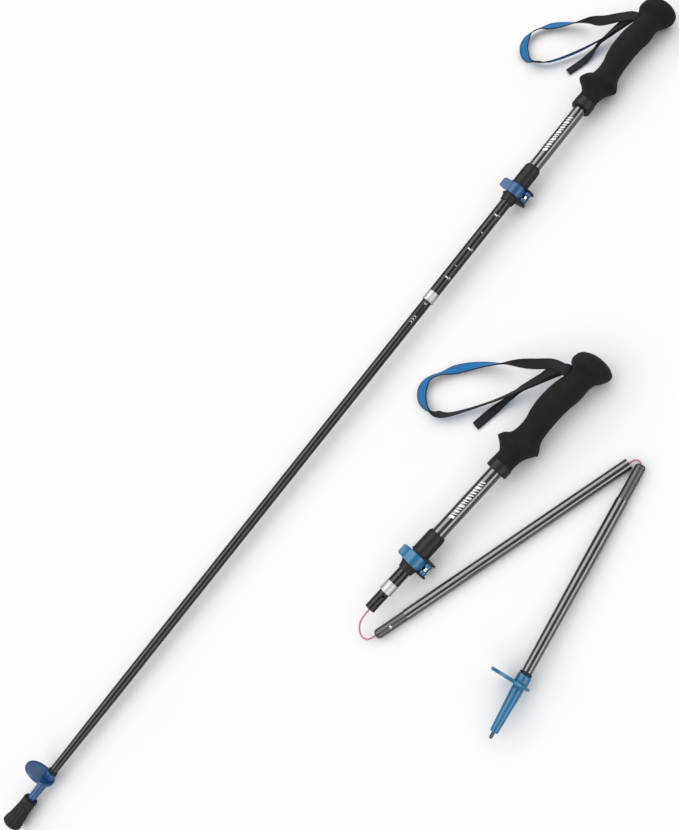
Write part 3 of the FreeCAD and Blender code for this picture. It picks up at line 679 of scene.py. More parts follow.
# ---- the straps ---------------------------------------------------------------------------------
# points that the middle of the webbing runs through, in millimetres from the corner of the layout, each with the
# webbing's roll about its own run there, in degrees; the first and last come out of the slot in the grip
STRAPS = {
    "straight": {
        "loop": ((-33, 1262, 34, 85), (-58, 1257, 26, 60), (-85, 1257, 17, 0), (-113, 1251, 10, -42),
                 (-139, 1242, 7, -66), (-153, 1234, 7.5, -26), (-161, 1223, 8, -14), (-161, 1211, 7.5, -42),
                 (-154, 1198, 7, -60), (-142, 1189, 6.8, -45), (-124, 1186, 7, 40), (-102, 1192, 7.5, 14),
                 (-76, 1215, 8.5, 5), (-51, 1241, 14, 14), (-33, 1256, 26, 45)),
        "tail": ((-50, 1240, 13, 150), (-55, 1228, 8, 162), (-60, 1212, 3.5, 132), (-71, 1189, 2, 127))},
    "folded": {
        "loop": ((201, 842, 34, 85), (181, 834, 28, 85), (160, 826, 21, 48), (139, 817, 14, 0), (112, 802, 9, -40),
                 (90, 784, 7, -66), (76, 769, 7.5, -18), (67, 755, 8, -22), (68, 741, 7.5, -58), (77, 730, 7, -58),
                 (91, 725, 6.8, -20), (106, 726, 7, 46), (121, 734, 7.5, 20), (146, 762, 8.5, 6),
                 (170, 791, 13, 10), (190, 818, 21, 26), (203, 835, 31, 50)),
        "tail": ((182, 808, 17, 150), (172, 791, 9, 162), (162, 768, 3.5, 132), (155, 741, 2, 127))}}
LEAN = np.array((0.6157, 0.0, 0.788))
ORIGIN = np.array((116.7, 649.97, 0.0))


def rounded_path(points, count):
    """Points at even distances on the curve through the given ones, each coordinate flowing over the distance
    run so far, eased by a centred cubic (Catmull-Rom) so that the line has no corners."""
    points = np.asarray(points, float)
    padded = np.concatenate([2 * points[:1] - points[1:2], points, 2 * points[-1:] - points[-2:-1]])
    share = np.linspace(0, 1, 40, endpoint=False)[None, :, None]
    a, b, c, d = (padded[index:len(padded) - 3 + index, None, :] for index in range(4))
    dense = 0.5 * (2 * b + (c - a) * share + (2 * a - 5 * b + 4 * c - d) * share ** 2
                   + (3 * b - a - 3 * c + d) * share ** 3)
    dense = np.concatenate([dense.reshape(-1, points.shape[1]), points[-1:]])
    run = np.concatenate([[0.0], np.cumsum(np.linalg.norm(np.diff(dense[:, :3], axis=0), axis=1))])
    at = np.linspace(0, run[-1], count)
    return np.stack([np.interp(at, run, dense[:, way]) for way in range(points.shape[1])], axis=1), run[-1]


def ribbon(name, stations, thickness, count):
    """Webbing along a path: at each point the section is a flat band with round edges.  A roll of 0 degrees stands
    the width along one leaning direction L, and the width turns about the path t from there,
    w = cos(roll) L' + sin(roll) t x L', where L' is L square to the path.  The faces carry the two weaves."""
    path, length = rounded_path(stations, count)
    line, roll = path[:, :3], np.radians(path[:, 3:])
    ahead = np.gradient(line, axis=0)
    ahead /= np.linalg.norm(ahead, axis=1, keepdims=True)
    lean = LEAN - (ahead @ LEAN)[:, None] * ahead
    lean /= np.linalg.norm(lean, axis=1, keepdims=True)
    across = np.cos(roll) * lean + np.sin(roll) * np.cross(ahead, lean)
    over = np.cross(ahead, across)
    flat = np.linspace(-1, 1, 9) * (WEB_WIDTH / 2 - thickness / 2)
    turn = np.linspace(-90, 90, 7)[1:-1] * math.pi / 180
    edge = (WEB_WIDTH / 2 - thickness / 2) + thickness / 2 * np.cos(turn)
    side = np.concatenate([flat, edge, flat[::-1], -edge])
    rise = np.concatenate([np.full(9, -0.5), np.sin(turn) / 2, np.full(9, 0.5), -np.sin(turn) / 2]) * thickness
    points = line[:, None, :] + across[:, None, :] * side[None, :, None] + over[:, None, :] * rise[None, :, None]
    u = np.append(side, side[0]) * MM + WEB_WIDTH * MM / 2
    uv = np.stack(np.broadcast_arrays(u[None, :], np.linspace(0, length, count)[:, None] * MM), axis=2)
    faces = np.concatenate([np.zeros(8, int), np.zeros(6, int), np.ones(8, int), np.zeros(6, int)])
    piece = skin(name, (points - ORIGIN) * MM, uv=uv, sides=faces, finish=[finish("web_dark"), finish("web_blue")])
    return piece, length


class POLES_OT_straps(bpy.types.Operator):
    """Build the twisted wrist straps and their loose tails"""

    bl_idname = "poles.straps"
    bl_label = "Wrist straps"

    def execute(self, context):
        thickness = context.scene.pole_sizes.web_thickness
        for pole in POLES:
            spot, body = GRIPS[pole], pole + "_strap"
            seat = STRAP_HEIGHT + GRIP_FOOT

            def out(x, y):
                return tuple(spot.lay((x, y, seat)) / MM + ORIGIN) + (90.0,)

            loop = [out(9.0, 1.3), out(20.5, 1.5), *STRAPS[pole]["loop"], out(20.5, -0.6), out(9.0, -0.8)]
            tail = [out(9.0, -2.3), out(20.5, -2.5), *STRAPS[pole]["tail"]]
            made, length = ribbon(pole + "_strap_loop", loop, thickness, 420)
            settle(made, body, "webbing", pole + "_strap")
            end, reach = ribbon(pole + "_strap_tail", tail, thickness, 120)
            settle(end, body, "webbing")
            print(pole, "strap", round(length, 1), "tail", round(reach, 1))
        return {"FINISHED"}


# ---- the tubes ----------------------------------------------------------------------------------
def pipe(name, size, low, high, spot, dress="black_tube"):
    """A tube with its two rims just broken."""
    outer, inner = size
    outline = [(outer / 2, low, 0.25), (outer / 2, high, 0.25), (inner / 2, high, 0.2), (inner / 2, low, 0.2)]
    return turned(name, outline, spot, finish(dress), hollow=True)


def narrowed(name, low, high, spot, dress):
    """The last tube: its radius grows from 5.3 to 6.25 over the lower two thirds."""
    stop = low + (high - low) * 0.66
    outline = [(5.3, low, 0.25), (5.3, low + 4, 2.0), (6.25, stop, 10.0), (6.25, high, 0.25), (5.55, high, 0.2),
               (5.55, stop, 10.0), (4.6, low + 4, 2.0), (4.6, low, 0.2)]
    return turned(name, outline, spot, finish(dress), hollow=True)


def nose(name, seat, spot):
    """A ferrule above a tube that ends at seat: a plain barrel, a fine groove, and a rounded dark nose."""
    top = seat + FERRULE_OUT
    outline = [(5.45, seat - 30, 0.2), (5.5, seat - 29, 0.3), (5.5, top - 5.2, 0.1), (5.3, top - 5.0, 0.1),
               (5.3, top - 4.6, 0.1), (5.5, top - 4.4, 0.1), (5.5, top - 2.0, 1.0), (4.5, top - 0.3, 0.6),
               (4.2, top, 0.3), (4.0, top - 0.3, 0.2), (4.0, seat - 30, 0.2)]
    return turned(name, outline, spot, finish("ferrule_grey"), hollow=True)


RING_OUTLINE = [(6.35, 25.0, 0.1), (7.3, 25.0, 0.3), (7.75, 25.5, 0.4), (7.75, 26.8, 0.3), (7.45, 27.2, 0.3),
                (7.45, 37.6, 0.3), (7.6, 38.0, 0.3), (7.6, 38.7, 0.2), (7.4, 39.0, 0.2), (7.3, 39.0, 0.1),
                (7.3, 29.5, 0.1), (6.35, 29.5, 0.1)]
STRAIGHT_JOINTS = (254.0, 524.0, 794.0)
FOLDED_MIDDLE = 286.0
FOLDED_TOP = 271.0


class POLES_OT_tubes(bpy.types.Operator):
    """Build the tubes, ferrules and bright rings"""

    bl_idname = "poles.tubes"
    bl_label = "Tubes"

    def execute(self, context):
        tip = TIPS["straight"]
        last, second, first = STRAIGHT_JOINTS
        satin = "black_tube_satin"
        for pole in POLES:
            upper = pipe(pole + "_upper", UPPER_TUBE, TUBE_SEAT, GRIP_FOOT + TUBE_IN_GRIP, GRIPS[pole])
            settle(upper, pole + "_handle", "black_tube", pole + "_upper_tube")
            scale = pipe(pole + "_scale_tube", SCALE_TUBE, SOCKET + 5, SCALE_TOP, TELESCOPES[pole], satin)
            settle(scale, pole + "_telescope", "black_tube", pole + "_adjust_tube")
            ring = turned(pole + "_bright_ring", RING_OUTLINE, TELESCOPES[pole], finish("ring_bright"), hollow=True)
            settle(ring, pole + "_telescope", "bright_ring", pole + "_ring")
            redress("black_tube_cut", pole + "_socket_tube")
            redress("black_plastic", pole + "_adjust_bush")
            redress("core_cord_cut", pole + "_anchor_cord")
        settle(pipe("straight_first_tube", FOLDING_TUBE, second, first, tip, satin), "straight_telescope", "black_tube",
               "straight_lower_1_tube")
        settle(pipe("straight_second_tube", FOLDING_TUBE, last, second, tip, satin), "straight_lower_2", "black_tube",
               "straight_lower_2_tube")
        settle(narrowed("straight_last_tube", TIP_RING_TOP, last, tip, satin), "straight_lower_3", "black_tube",
               "straight_lower_3_tube")
        settle(nose("straight_second_nose", second, tip), "straight_lower_2", "ferrule_grey",
               "straight_lower_2_ferrule")
        settle(nose("straight_last_nose", last, tip), "straight_lower_3", "ferrule_grey", "straight_lower_3_ferrule")
        settle(pipe("folded_second_tube", FOLDING_TUBE, 0.0, FOLDED_MIDDLE, MIDDLE), "folded_middle", "black_tube",
               "folded_middle_tube")
        settle(narrowed("folded_last_tube", TIP_RING_TOP, FOLDED_TOP, LOWER, "black_tube"), "folded_lower",
               "black_tube", "folded_lower_tube")
        settle(nose("folded_last_nose", FOLDED_TOP, LOWER), "folded_lower", "ferrule_grey", "folded_lower_ferrule")
        redress("ferrule_cut", "straight_lower_1_ferrule", "folded_middle_ferrule")
        redress("steel_cut", "straight_lower_1_button", "folded_middle_button")
        redress("core_cord_cut", *(node for node in frame["nodes"] if node.endswith("_cord")))
        return {"FINISHED"}


# ---- printed marks ------------------------------------------------------------------------------
# how far the ink stands out of the tube, and how far its root lies in the wall
INK_OUT, INK_IN = 0.035, 0.1


def printed(name, radius, marks, spot, steps=10):
    """Ink on a tube.  Each mark is (from angle, to angle, from height, to height, lean): a patch on the cylinder
    whose height goes up by lean from its first angle to its last, closed as a hair-thin shell."""
    marks = np.asarray(marks, float)
    share = np.linspace(0, 1, steps + 1)
    angle = np.radians(marks[:, :1] + (marks[:, 1:2] - marks[:, :1]) * share)
    lift = marks[:, 4:5] * share
    low, high = marks[:, 2:3] + lift, marks[:, 3:4] + lift
    skin_r, root_r = radius + INK_OUT, radius - INK_IN
    rings = []
    for reach, height in ((skin_r, low), (skin_r, high), (root_r, high), (root_r, low)):
        rings.append(np.stack([reach * np.cos(angle), reach * np.sin(angle), height], axis=2))
    points = np.stack(rings, axis=2)
    count = len(marks)
    offset = (np.arange(count) * (steps + 1) * 4)[:, None, None]
    step = (np.arange(steps) * 4)[None, :, None]
    side = np.arange(4)[None, None, :]
    after = (side + 1) % 4
    base = offset + step
    quads = np.stack(np.broadcast_arrays(base + side, base + side + 4, base + after + 4, base + after), axis=3)
    ends = np.arange(count)[:, None] * (steps + 1) * 4
    faces = np.concatenate([quads.reshape(-1, 4), ends + np.arange(4)[None, :],
                            ends + steps * 4 + np.arange(4)[None, ::-1]])
    mesh = bpy.data.meshes.new(name)
    mesh.from_pydata(spot.lay(points.reshape(-1, 3)), [], faces.tolist())
    mesh.materials.append(finish("print_white"))
    mesh.shade_smooth()
    mesh.set_sharp_from_angle(angle=math.radians(30))
    piece = bpy.data.objects.new(name, mesh)
    bpy.context.scene.collection.objects.link(piece)
    return piece


def slash_marks():
    """The generic print on the upper tube: a row of slanted bars, broad and narrow by turns."""
    marks, height = [], 76.0
    for width in (3.4, 1.2, 2.2, 1.2, 3.0, 1.2, 1.2, 2.6, 1.4, 2.0, 1.2, 2.8, 1.2, 1.6):
        marks.append((46.0, 86.0, height, height + width, 2.6))
        height += width + 2.0
    return marks


def badge_marks():
    """The small generic print on the socket end: three chevrons."""
    marks = []
    for height in (-9.0, -5.0, -1.0):
        marks.append((74.0, 90.0, height, height + 1.0, 1.8))
        marks.append((106.0, 90.0, height, height + 1.0, 1.8))
    return marks


SCALE_HEIGHTS = (61.7, 80.2, 106.2, 132.1, 159.3)
NUMBER_SIZE, NUMBER_ANGLE, NUMBER_SINK = 3.6, 124.0, 0.015
FIRST_NUMBER, NUMBER_STEP = 125, 5


def scale_marks(tick):
    """The length scale: short marks up the tube, every other one bold."""
    marks = []
    for count, height in enumerate(SCALE_HEIGHTS):
        reach, width = (16.0, 1.7 * tick) if count % 2 == 0 else (9.0, 0.8 * tick)
        marks.append((90.0 - reach, 90.0 + reach, height, height + width, 0.0))
    return marks


def numerals(pole, height, text, spot, body):
    """A length number in the plain built-in letters, wrapped round the tube: x runs up the tube, y turns into an
    angle and z into a radius, so the letters keep a little thickness and closed sides."""
    curve = bpy.data.curves.new(pole + "_number", "FONT")
    curve.body, curve.size, curve.align_x, curve.align_y = text, NUMBER_SIZE * MM, "CENTER", "CENTER"
    curve.resolution_u, curve.extrude = 3, 0.05 * MM
    holder = bpy.data.objects.new(pole + "_number", curve)
    mesh = bpy.data.meshes.new_from_object(holder)
    bpy.data.objects.remove(holder)
    joined = bmesh.new()
    joined.from_mesh(mesh)
    bmesh.ops.remove_doubles(joined, verts=joined.verts[:], dist=0.001 * MM)
    joined.to_mesh(mesh)
    joined.free()
    flat = np.zeros(len(mesh.vertices) * 3)
    mesh.vertices.foreach_get("co", flat)
    flat = flat.reshape(-1, 3) / MM
    tube = SCALE_TUBE[0] / 2
    radius = tube - NUMBER_SINK + flat[:, 2]
    angle = math.radians(NUMBER_ANGLE) - flat[:, 1] / tube
    local = np.stack([radius * np.cos(angle), radius * np.sin(angle), height + flat[:, 0]], axis=1)
    mesh.vertices.foreach_set("co", spot.lay(local).ravel())
    mesh.materials.append(finish("print_white"))
    piece = bpy.data.objects.new(pole + "_number_" + text, mesh)
    piece.data.update()
    bpy.context.scene.collection.objects.link(piece)
    return settle(piece, body, "black_tube")


class POLES_OT_marks(bpy.types.Operator):
    """Print the length scales and the generic marks on the tubes"""

    bl_idname = "poles.marks"
    bl_label = "Printed marks"

    def execute(self, context):
        tick = context.scene.pole_sizes.tick_width
        for pole in POLES:
            telescope = TELESCOPES[pole]
            settle(printed(pole + "_slashes", UPPER_TUBE[0] / 2, slash_marks(), GRIPS[pole]), pole + "_handle",
                   "black_tube")
            settle(printed(pole + "_scale", SCALE_TUBE[0] / 2, scale_marks(tick), telescope), pole + "_telescope",
                   "black_tube")
            for count, height in enumerate(SCALE_HEIGHTS[::2]):
                numerals(pole, height + 0.8, str(FIRST_NUMBER - NUMBER_STEP * count), telescope, pole + "_telescope")
        settle(printed("straight_badge", FOLDING_TUBE[0] / 2, badge_marks(), TELESCOPES["straight"]),
               "straight_telescope", "black_tube")
        return {"FINISHED"}


# ---- the clamp ----------------------------------------------------------------------------------
EAR = (-14.5, 4.0)


def egg(reach, ear, count=60):
    """The outline that wraps a circle on the tube and a smaller one round the bolt, with straight flanks along
    their common tangents."""
    lean = math.degrees(math.atan2(EAR[1], EAR[0]))
    spread = math.degrees(math.acos((reach - ear) / math.hypot(*EAR)))
    return np.concatenate([arc((0, 0), reach, lean + spread, lean + 360 - spread, count),
                           arc(EAR, ear, lean - spread, lean + spread, count // 2)])


def plate_grid(low, high, bore=9.2):
    """A flange: the outline above with a round hole, its rims eased by moving towards the pole by e."""
    outline = egg(11.4, 7.2)
    reach = np.linalg.norm(outline, axis=1, keepdims=True)
    ease = np.array((0.6, 0.2, 0.0, 0.0, 0.2, 0.6))
    height = np.array((low, low + 0.2, low + 0.6, high - 0.6, high - 0.2, high, high, low))
    rings = [outline * (1 - inset / reach) for inset in ease] + [outline / reach * bore] * 2
    flat = np.stack(rings)
    return np.concatenate([flat, np.broadcast_to(height[:, None, None], flat.shape[:2] + (1,))], axis=2)


def lever_grid(thick, rows=110):
    """The lever's band, swept from the tip of its tab round the clamp to its hub.  The path is the tab, then a
    circle of radius 11.7.  The section is a rounded box, (|x|^4 + |y|^4 = 1), as wide along the pole as the
    band's outline, which is a lens: narrow at the tab and full at the hub; the outer face is crowned."""
    tab = np.array([(20.6, 3.3), (18.0, 4.1), (15.2, 5.1), (12.9, 5.9)])
    path = np.concatenate([tab, arc((0, 0), 11.7, 33, 146, 30)])
    run = np.concatenate([[0.0], np.cumsum(np.linalg.norm(np.diff(path, axis=0), axis=1))])
    at = (1 - np.cos(np.linspace(0, math.pi, rows))) / 2 * run[-1]
    line = np.stack([np.interp(at, run, path[:, 0]), np.interp(at, run, path[:, 1])], axis=1)
    line = np.stack([np.convolve(np.pad(line[:, way], 6, "reflect", reflect_type="odd"), np.ones(13) / 13, "valid")
                     for way in (0, 1)], axis=1)
    ahead = np.gradient(line, axis=0)
    ahead /= np.linalg.norm(ahead, axis=1, keepdims=True)
    out = np.stack([ahead[:, 1], -ahead[:, 0]], axis=1)
    share = at / run[-1]
    width = flowing((0, 0.06, 0.2, 0.5, 0.8, 1.0), (5.0, 6.4, 6.8, 7.15, 7.2, 7.1), share)
    half = flowing((0, 0.05, 0.18, 0.4, 0.8, 1.0), (0.25, 0.85, 1.2, thick / 2, thick / 2, thick / 2), share)
    turn = np.linspace(0, TAU, 40, endpoint=False)
    across = np.sign(np.cos(turn)) * np.abs(np.cos(turn)) ** 0.5
    depth = np.sign(np.sin(turn)) * np.abs(np.sin(turn)) ** 0.5
    crown = 1 - 0.35 * across ** 2
    depth = np.where(depth < 0, depth * crown, depth)
    points = np.zeros((rows, len(turn), 3))
    points[:, :, :2] = line[:, None] - out[:, None] * (depth[None, :, None] * half[:, None, None])
    points[:, :, 2] = (BAND_LOW + BAND_HIGH) / 2 + across[None] * width[:, None]
    return points[:, ::-1]


class POLES_OT_clamps(bpy.types.Operator):
    """Build the lever clamps"""

    bl_idname = "poles.clamps"
    bl_label = "Clamps"

    def execute(self, context):
        thick = context.scene.pole_sizes.lever_thickness
        middle = (BAND_LOW + BAND_HIGH) / 2
        for pole in POLES:
            spot, body, black = GRIPS[pole], pole + "_handle", finish("black_plastic")
            outline = [(7.35, 0.0, 0.2), (8.7, 0.0, 0.5), (8.9, 1.6, 0.6), (9.5, 5.0, 2.0), (10.9, 8.4, 0.6),
                       (9.6, 9.4, 0.2), (9.6, 24.6, 0.2), (10.6, 26.4, 0.4), (10.7, 27.4, 0.4), (10.7, 50.0, 0.8),
                       (10.35, 52.6, 0.8), (9.4, 54.7, 0.4), (9.1, 55.0, 0.3), (GRIP_BORE, 55.0, 0.2),
                       (GRIP_BORE, TUBE_SEAT, 0.1), (7.35, TUBE_SEAT, 0.1)]
            sleeve = turned(pole + "_clamp_sleeve", outline, spot, black, hollow=True)
            settle(sleeve, body, "black_plastic", pole + "_clamp_body")
            for name, low, high in (("low", BAND_LOW - 1.4, BAND_LOW + 0.6),
                                    ("high", BAND_HIGH - 0.6, BAND_HIGH + 1.4)):
                flange = skin(pole + "_flange_" + name, spot.lay(plate_grid(low, high)), lengthwise=True,
                              finish=black)
                settle(flange, body, "black_plastic")
            for name, back, front in (("outer", -2.2, 1.2), ("inner", -7.0, -3.6)):
                jaw = eased([(-8.0, back, 0.5), (-8.0, front, 0.5), (-19.4, front, 1.4), (-19.4, back, 1.0)])
                settle(slab(pole + "_jaw_" + name, jaw, BAND_LOW + 0.5, BAND_HIGH - 0.5, 0.2, spot, black), body,
                       "black_plastic")
            blue = finish("blue_" + pole)
            band = skin(pole + "_lever_band", spot.lay(lever_grid(thick)), finish=blue, sharp=50.0)
            settle(band, pole + "_clamp_lever", "blue_plastic_" + pole, pole + "_clamp_lever")
            for name, low, high in (("low", middle - 7.1, middle - 2.2), ("high", middle + 2.2, middle + 7.1)):
                cheek = slab(pole + "_cheek_" + name, arc((BOLT_X, BOLT_Y), 4.3, 0, 352.5, 48), low, high, 0.9, spot,
                             blue)
                settle(cheek, pole + "_clamp_lever", "blue_plastic_" + pole)
            redress("steel_cut", pole + "_clamp_bolt")
            redress("black_plastic", pole + "_clamp_nut")
        return {"FINISHED"}


# ---- the tips -----------------------------------------------------------------------------------
def basket_grid(rows, columns=112):
    """The basket's disc, worked out from its own centre: a rim of lip height, a shallow dished face with a fine
    step, and an eased edge; each (radius, height) row goes round the disc."""
    angle = np.linspace(0, TAU, columns, endpoint=False)
    rows = np.asarray(rows, float)
    x = 11.0 + rows[:, :1] * np.cos(angle)
    return np.stack(np.broadcast_arrays(x, rows[:, :1] * np.sin(angle), rows[:, 1:]), axis=2)


def foot_grid(depth, columns=192):
    """The rubber foot: an outline turned round the pole, its outside cut by twelve flutes,
    r = R - depth w(z) (0.5 + 0.5 cos 12a)^3, where w fades out towards the sole and the lip."""
    outline = eased([(0.02, 0.0, 0.0), (11.3, 0.0, 0.8), (12.35, 1.2, 0.9), (12.35, 4.4, 1.5), (10.9, 9.0, 3.0),
                     (9.5, 24.0, 6.0), (9.1, 33.0, 1.5), (9.3, 35.0, 0.6), (9.4, 36.2, 0.5), (9.4, 38.6, 0.8),
                     (8.1, 40.0, 0.8), (6.2, 40.0, 0.6), (5.6, 38.6, 0.6), (4.55, 20.0, 0.3), (4.45, 18.6, 0.2),
                     (2.1, 18.6, 0.2), (2.1, 11.8, 0.2), (0.02, 11.8, 0.0)], closed=False)
    fine = []
    for start, stop in zip(outline[:-1], outline[1:]):
        pieces = max(1, int(np.linalg.norm(stop - start) / 1.5))
        fine.append(start + (stop - start) * np.linspace(0, 1, pieces, endpoint=False)[:, None])
    outline = np.concatenate(fine + [outline[-1:]])
    angle = np.linspace(0, TAU, columns, endpoint=False)[None, :]
    radius, height = outline[:, :1], outline[:, 1:]
    outside = (np.arange(len(outline)) < np.argmax(outline[:, 1] >= 39.9))[:, None]
    share = step_up(1.0, 5.0, height) * (1 - step_up(23.0, 33.0, height)) * outside
    radius = radius - depth * share * (0.5 + 0.5 * np.cos(12 * angle)) ** 3
    return np.stack(np.broadcast_arrays(radius * np.cos(angle), radius * np.sin(angle), height), axis=2)


class POLES_OT_tips(bpy.types.Operator):
    """Build the tips, the baskets and the rubber foot"""

    bl_idname = "poles.tips"
    bl_label = "Tips and baskets"

    def execute(self, context):
        face = [(0.02, 57.0), (18.0, 57.0), (20.2, 57.0), (20.8, 57.3), (21.0, 57.9), (21.0, 59.7), (20.8, 60.2),
                (20.3, 60.5), (19.6, 60.4), (19.1, 60.0), (18.8, 59.6), (18.2, 59.5), (12.0, 59.5), (0.02, 59.6)]
        for pole, last in (("straight", "straight_lower_3"), ("folded", "folded_lower")):
            spot, blue, slot = TIPS[pole], finish("blue_" + pole), "blue_plastic_" + pole
            cone = turned(pole + "_cone", [(1.8, 7.0, 0.1), (3.7, 7.0, 0.4), (4.15, 7.6, 0.4), (5.95, 51.5, 2.0),
                                           (6.0, 54.6, 0.3), (5.6, 55.0, 0.2), (5.6, 55.6, 0.2), (6.0, 56.0, 0.2),
                                           (6.0, 56.8, 0.3), (5.2, 56.9, 0.2), (5.2, 72.9, 0.2), (4.5, 73.0, 0.2),
                                           (4.5, 93.0, 0.3), (1.2, 93.0, 0.3), (1.2, 24.0, 0.3), (1.8, 23.0, 0.1)],
                          spot, blue, hollow=True)
            settle(cone, last, slot, pole + "_tip_cone")
            spike = turned(pole + "_spike", [(0.02, 0.35, 0.0), (0.55, 0.0, 0.1), (0.85, 0.05, 0.1), (1.75, 1.4, 0.2),
                                             (1.75, 6.9, 0.1), (1.5, 7.1, 0.1), (1.5, 21.9, 0.2), (0.02, 22.0, 0.0)],
                           spot, finish("steel_dark"), facets=48)
            settle(spike, last, "steel", pole + "_steel_tip")
            disc = skin(pole + "_basket_disc", spot.lay(basket_grid(face)), finish=blue)
            settle(disc, pole + "_basket", slot, pole + "_basket")
            ten = [(7.35 * math.cos(TAU * side / 10), 7.35 * math.sin(TAU * side / 10), 0.9) for side in range(10)]
            collar = slab(pole + "_basket_collar", eased(ten, 4), 59.3, COLLAR_TOP, 0.9, spot, blue)
            settle(collar, pole + "_basket", slot)
            outline = [(5.25, 69.8, 0.1), (6.0, 69.8, 0.3), (6.35, 70.3, 0.4), (6.35, 72.0, 0.5), (5.7, 72.8, 0.3),
                       (5.25, 72.8, 0.1)]
            ring = turned(pole + "_stop_ring", outline, spot, finish("black_plastic"), hollow=True)
            settle(ring, last, "black_plastic", pole + "_tip_ring")
        depth = context.scene.pole_sizes.flute_depth
        foot = skin("straight_rubber_foot", STRAIGHT.lay(foot_grid(depth)), finish=finish("tip_rubber"))
        settle(foot, "straight_rubber_cap", "rubber", "straight_rubber_cap")
        return {"FINISHED"}


# ---- the core cord ------------------------------------------------------------------------------
# routes of the two open loops, in millimetres from the corner of the layout
CORD_ROUTES = {
    "upper": ((207, 508, 21), (206.2, 498, 19.8), (204.6, 489.5, 15.2), (205.8, 482, 9.6), (211.5, 477, 6.2),
              (218.5, 477.6, 5.6), (223.2, 482.2, 6.2), (226, 490, 6.6)),
    "lower": ((325.41, 793.11, 6.6), (328.5, 802.54, 6.6), (330.03, 807.2, 6.6), (334.59, 808.99, 6.3),
              (338.88, 806.62, 5.78), (339.79, 801.81, 5.96), (340.48, 798.14, 6.09))}


def cord_tube(name, route):
    """A round tube of cord: circles of the cord's radius square to the points of the route's NURBS line, turned
    from each to the next without twist by leaning the last side way onto the new plane."""
    curve = bpy.data.curves.new(name + "_line", "CURVE")
    curve.dimensions = "3D"
    spline = curve.splines.new("NURBS")
    spline.points.add(len(route) - 1)
    for place, point in zip(spline.points, (np.array(route) - ORIGIN) * MM):
        place.co = (*point, 1.0)
    spline.order_u = 3
    spline.use_endpoint_u = True
    spline.resolution_u = 16
    holder = bpy.data.objects.new(name + "_line", curve)
    mesh = bpy.data.meshes.new_from_object(holder)
    line = np.zeros(len(mesh.vertices) * 3)
    mesh.vertices.foreach_get("co", line)
    line = line.reshape(-1, 3)
    bpy.data.objects.remove(holder)
    ahead = np.gradient(line, axis=0)
    ahead /= np.linalg.norm(ahead, axis=1, keepdims=True)
    side = np.zeros_like(line)
    way = unit(np.cross(ahead[0], (0.31, 0.2, 0.93)))
    for index, along in enumerate(ahead):
        way = unit(way - way.dot(along) * along)
        side[index] = way
    other = np.cross(ahead, side)
    angle = np.linspace(0, TAU, 24, endpoint=False)[None, :, None]
    radius = CORE_CORD / 2 * MM
    points = line[:, None] + radius * (side[:, None] * np.cos(angle) + other[:, None] * np.sin(angle))
    return skin(name, points, finish=finish("core_cord")), line


class POLES_OT_cords(bpy.types.Operator):
    """Build the open loops of the core cord between the folded sections"""

    bl_idname = "poles.cords"
    bl_label = "Core cord loops"

    def execute(self, context):
        for loop, route in CORD_ROUTES.items():
            piece, line = cord_tube("folded_cord_" + loop, route)
            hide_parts("folded_cord_loop_" + loop)
            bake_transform(piece)
        return {"FINISHED"}


# ---- the studio ---------------------------------------------------------------------------------
VIEW_TILT = math.radians(38.0)
VIEW_TURN = math.radians(51.2)
VIEW_FAR = 1112.4
VIEW_LENS = 38.9


def view_axes():
    """Right, up and back of the camera: it looks down at the tilt from the vertical, turned about its own line."""
    back = np.array((math.sin(VIEW_TILT), 0.0, math.cos(VIEW_TILT)))
    along, across = np.array((0.0, 1.0, 0.0)), np.array((-math.cos(VIEW_TILT), 0.0, math.sin(VIEW_TILT)))
    right = math.cos(VIEW_TURN) * along - math.sin(VIEW_TURN) * across
    return right, math.sin(VIEW_TURN) * along + math.cos(VIEW_TURN) * across, back, across


def strip(name, place, aim, size, power):
    """A strip light that only gloss sees: an area light at a place, facing a point."""
    light = bpy.data.lights.new(name, "AREA")
    light.shape, light.size, light.size_y, light.energy = "RECTANGLE", size[0], size[1], power
    box = bpy.data.objects.new(name, light)
    back = unit(np.subtract(place, aim))
    side = unit(np.cross((0.0, 1.0, 0.0), back))
    up = np.cross(back, side)
    box.matrix_world = Matrix(np.vstack([np.column_stack([side, up, back, place]), (0, 0, 0, 1)]).tolist())
    box.visible_diffuse = False
    bpy.context.scene.collection.objects.link(box)


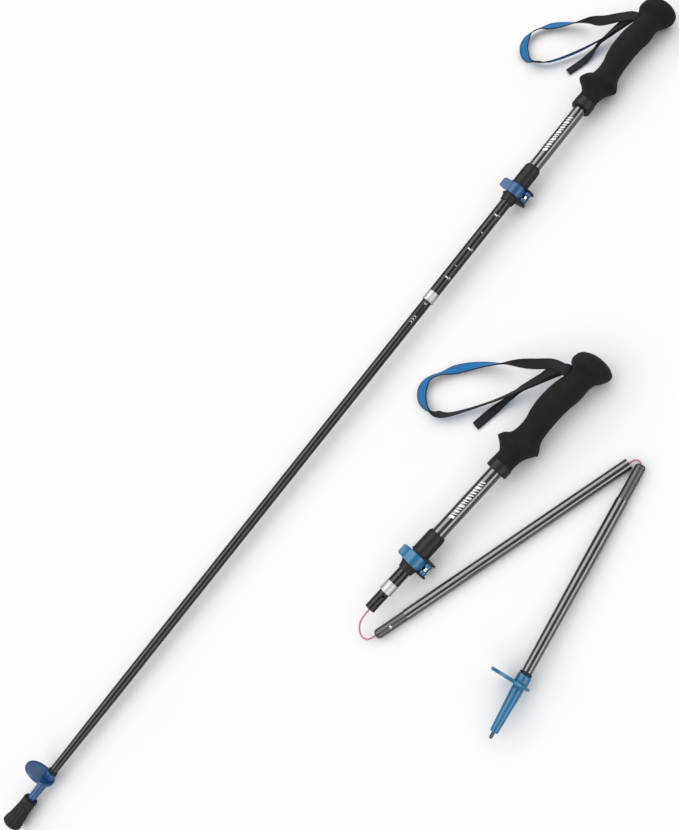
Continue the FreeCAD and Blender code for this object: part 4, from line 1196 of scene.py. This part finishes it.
class POLES_OT_stage(bpy.types.Operator):
    """Set up the floor, the soft boxes and the camera"""

    bl_idname = "poles.stage"
    bl_label = "Studio"

    def execute(self, context):
        scene = context.scene
        right, up, back, across = view_axes()
        centre = np.array((0.0, 653.0, 22.0)) - 4.45 * across
        place = (centre + VIEW_FAR * back - ORIGIN) * MM
        lens = bpy.data.cameras.new("pole_camera")
        lens.lens, lens.sensor_width, lens.clip_start = VIEW_LENS, 36.0, 0.02
        camera = bpy.data.objects.new("pole_camera", lens)
        camera.matrix_world = Matrix(np.vstack([np.column_stack([right, up, back, place]), (0, 0, 0, 1)]).tolist())
        scene.collection.objects.link(camera)
        scene.camera = camera

        graph = Graph("studio_floor")
        cloud = graph.noise(3.0, 3.0)
        graph.finish(graph.mix(cloud, rgb(0.9, 0.9, 0.9), rgb(0.93, 0.93, 0.93)), 0.95, Specular_IOR_Level=0.0)
        side = 60.0
        grid = np.stack(np.meshgrid(np.linspace(-side, side, 9), np.linspace(-side, side, 9)), axis=2)
        points = np.concatenate([grid, np.full((9, 9, 1), -0.0002)], axis=2)
        floor = skin("studio_floor", points, around=False, caps=False, finish=graph.material)

        world = bpy.data.worlds.new("studio_air")
        world.use_nodes = True
        world.node_tree.nodes["Background"].inputs["Color"].default_value = rgb(1.0, 1.0, 1.0)
        world.node_tree.nodes["Background"].inputs["Strength"].default_value = 0.28
        scene.world = world
        scene.view_settings.view_transform = "Standard"
        key = bpy.data.lights.new("key_sky", "SUN")
        key.energy, key.angle = 2.5, 2.2
        dome = bpy.data.objects.new("key_sky", key)
        dome.visible_glossy = False
        scene.collection.objects.link(dome)
        strip("left_strip", (-0.5, 0.0, 1.52), (0.0, 0.0, 0.02), (1.4, 4.5), 100.0)
        strip("right_strip", (1.6, 0.0, 0.5), (0.0, 0.0, 0.02), (0.9, 4.5), 66.0)
        return {"FINISHED"}


class POLES_PT_panel(bpy.types.Panel):
    """The poles' pieces, sizes and colours"""

    bl_idname = "POLES_PT_panel"
    bl_label = "Trekking poles"
    bl_space_type = "VIEW_3D"
    bl_region_type = "UI"
    bl_category = "Poles"

    def draw(self, context):
        for operator in OPERATORS:
            self.layout.operator(operator.bl_idname)
        for group in (context.scene.pole_sizes, context.scene.pole_colours):
            box = self.layout.box()
            for name in group.__annotations__:
                box.prop(group, name)


OPERATORS = (POLES_OT_stage, POLES_OT_cords, POLES_OT_grips, POLES_OT_straps, POLES_OT_tubes, POLES_OT_marks,
             POLES_OT_clamps, POLES_OT_tips)
CLASSES = (PoleSizes, PoleColours) + OPERATORS + (POLES_PT_panel,)


def register():
    for kind in CLASSES:
        bpy.utils.register_class(kind)
    bpy.types.Scene.pole_sizes = bpy.props.PointerProperty(type=PoleSizes)
    bpy.types.Scene.pole_colours = bpy.props.PointerProperty(type=PoleColours)


def unregister():
    del bpy.types.Scene.pole_sizes, bpy.types.Scene.pole_colours
    for kind in reversed(CLASSES):
        bpy.utils.unregister_class(kind)


def main():
    """Make every piece in order."""
    register()
    for operator in OPERATORS:
        group, name = operator.bl_idname.split(".")
        getattr(getattr(bpy.ops, group), name)()


if __name__ == "__main__":
    main()
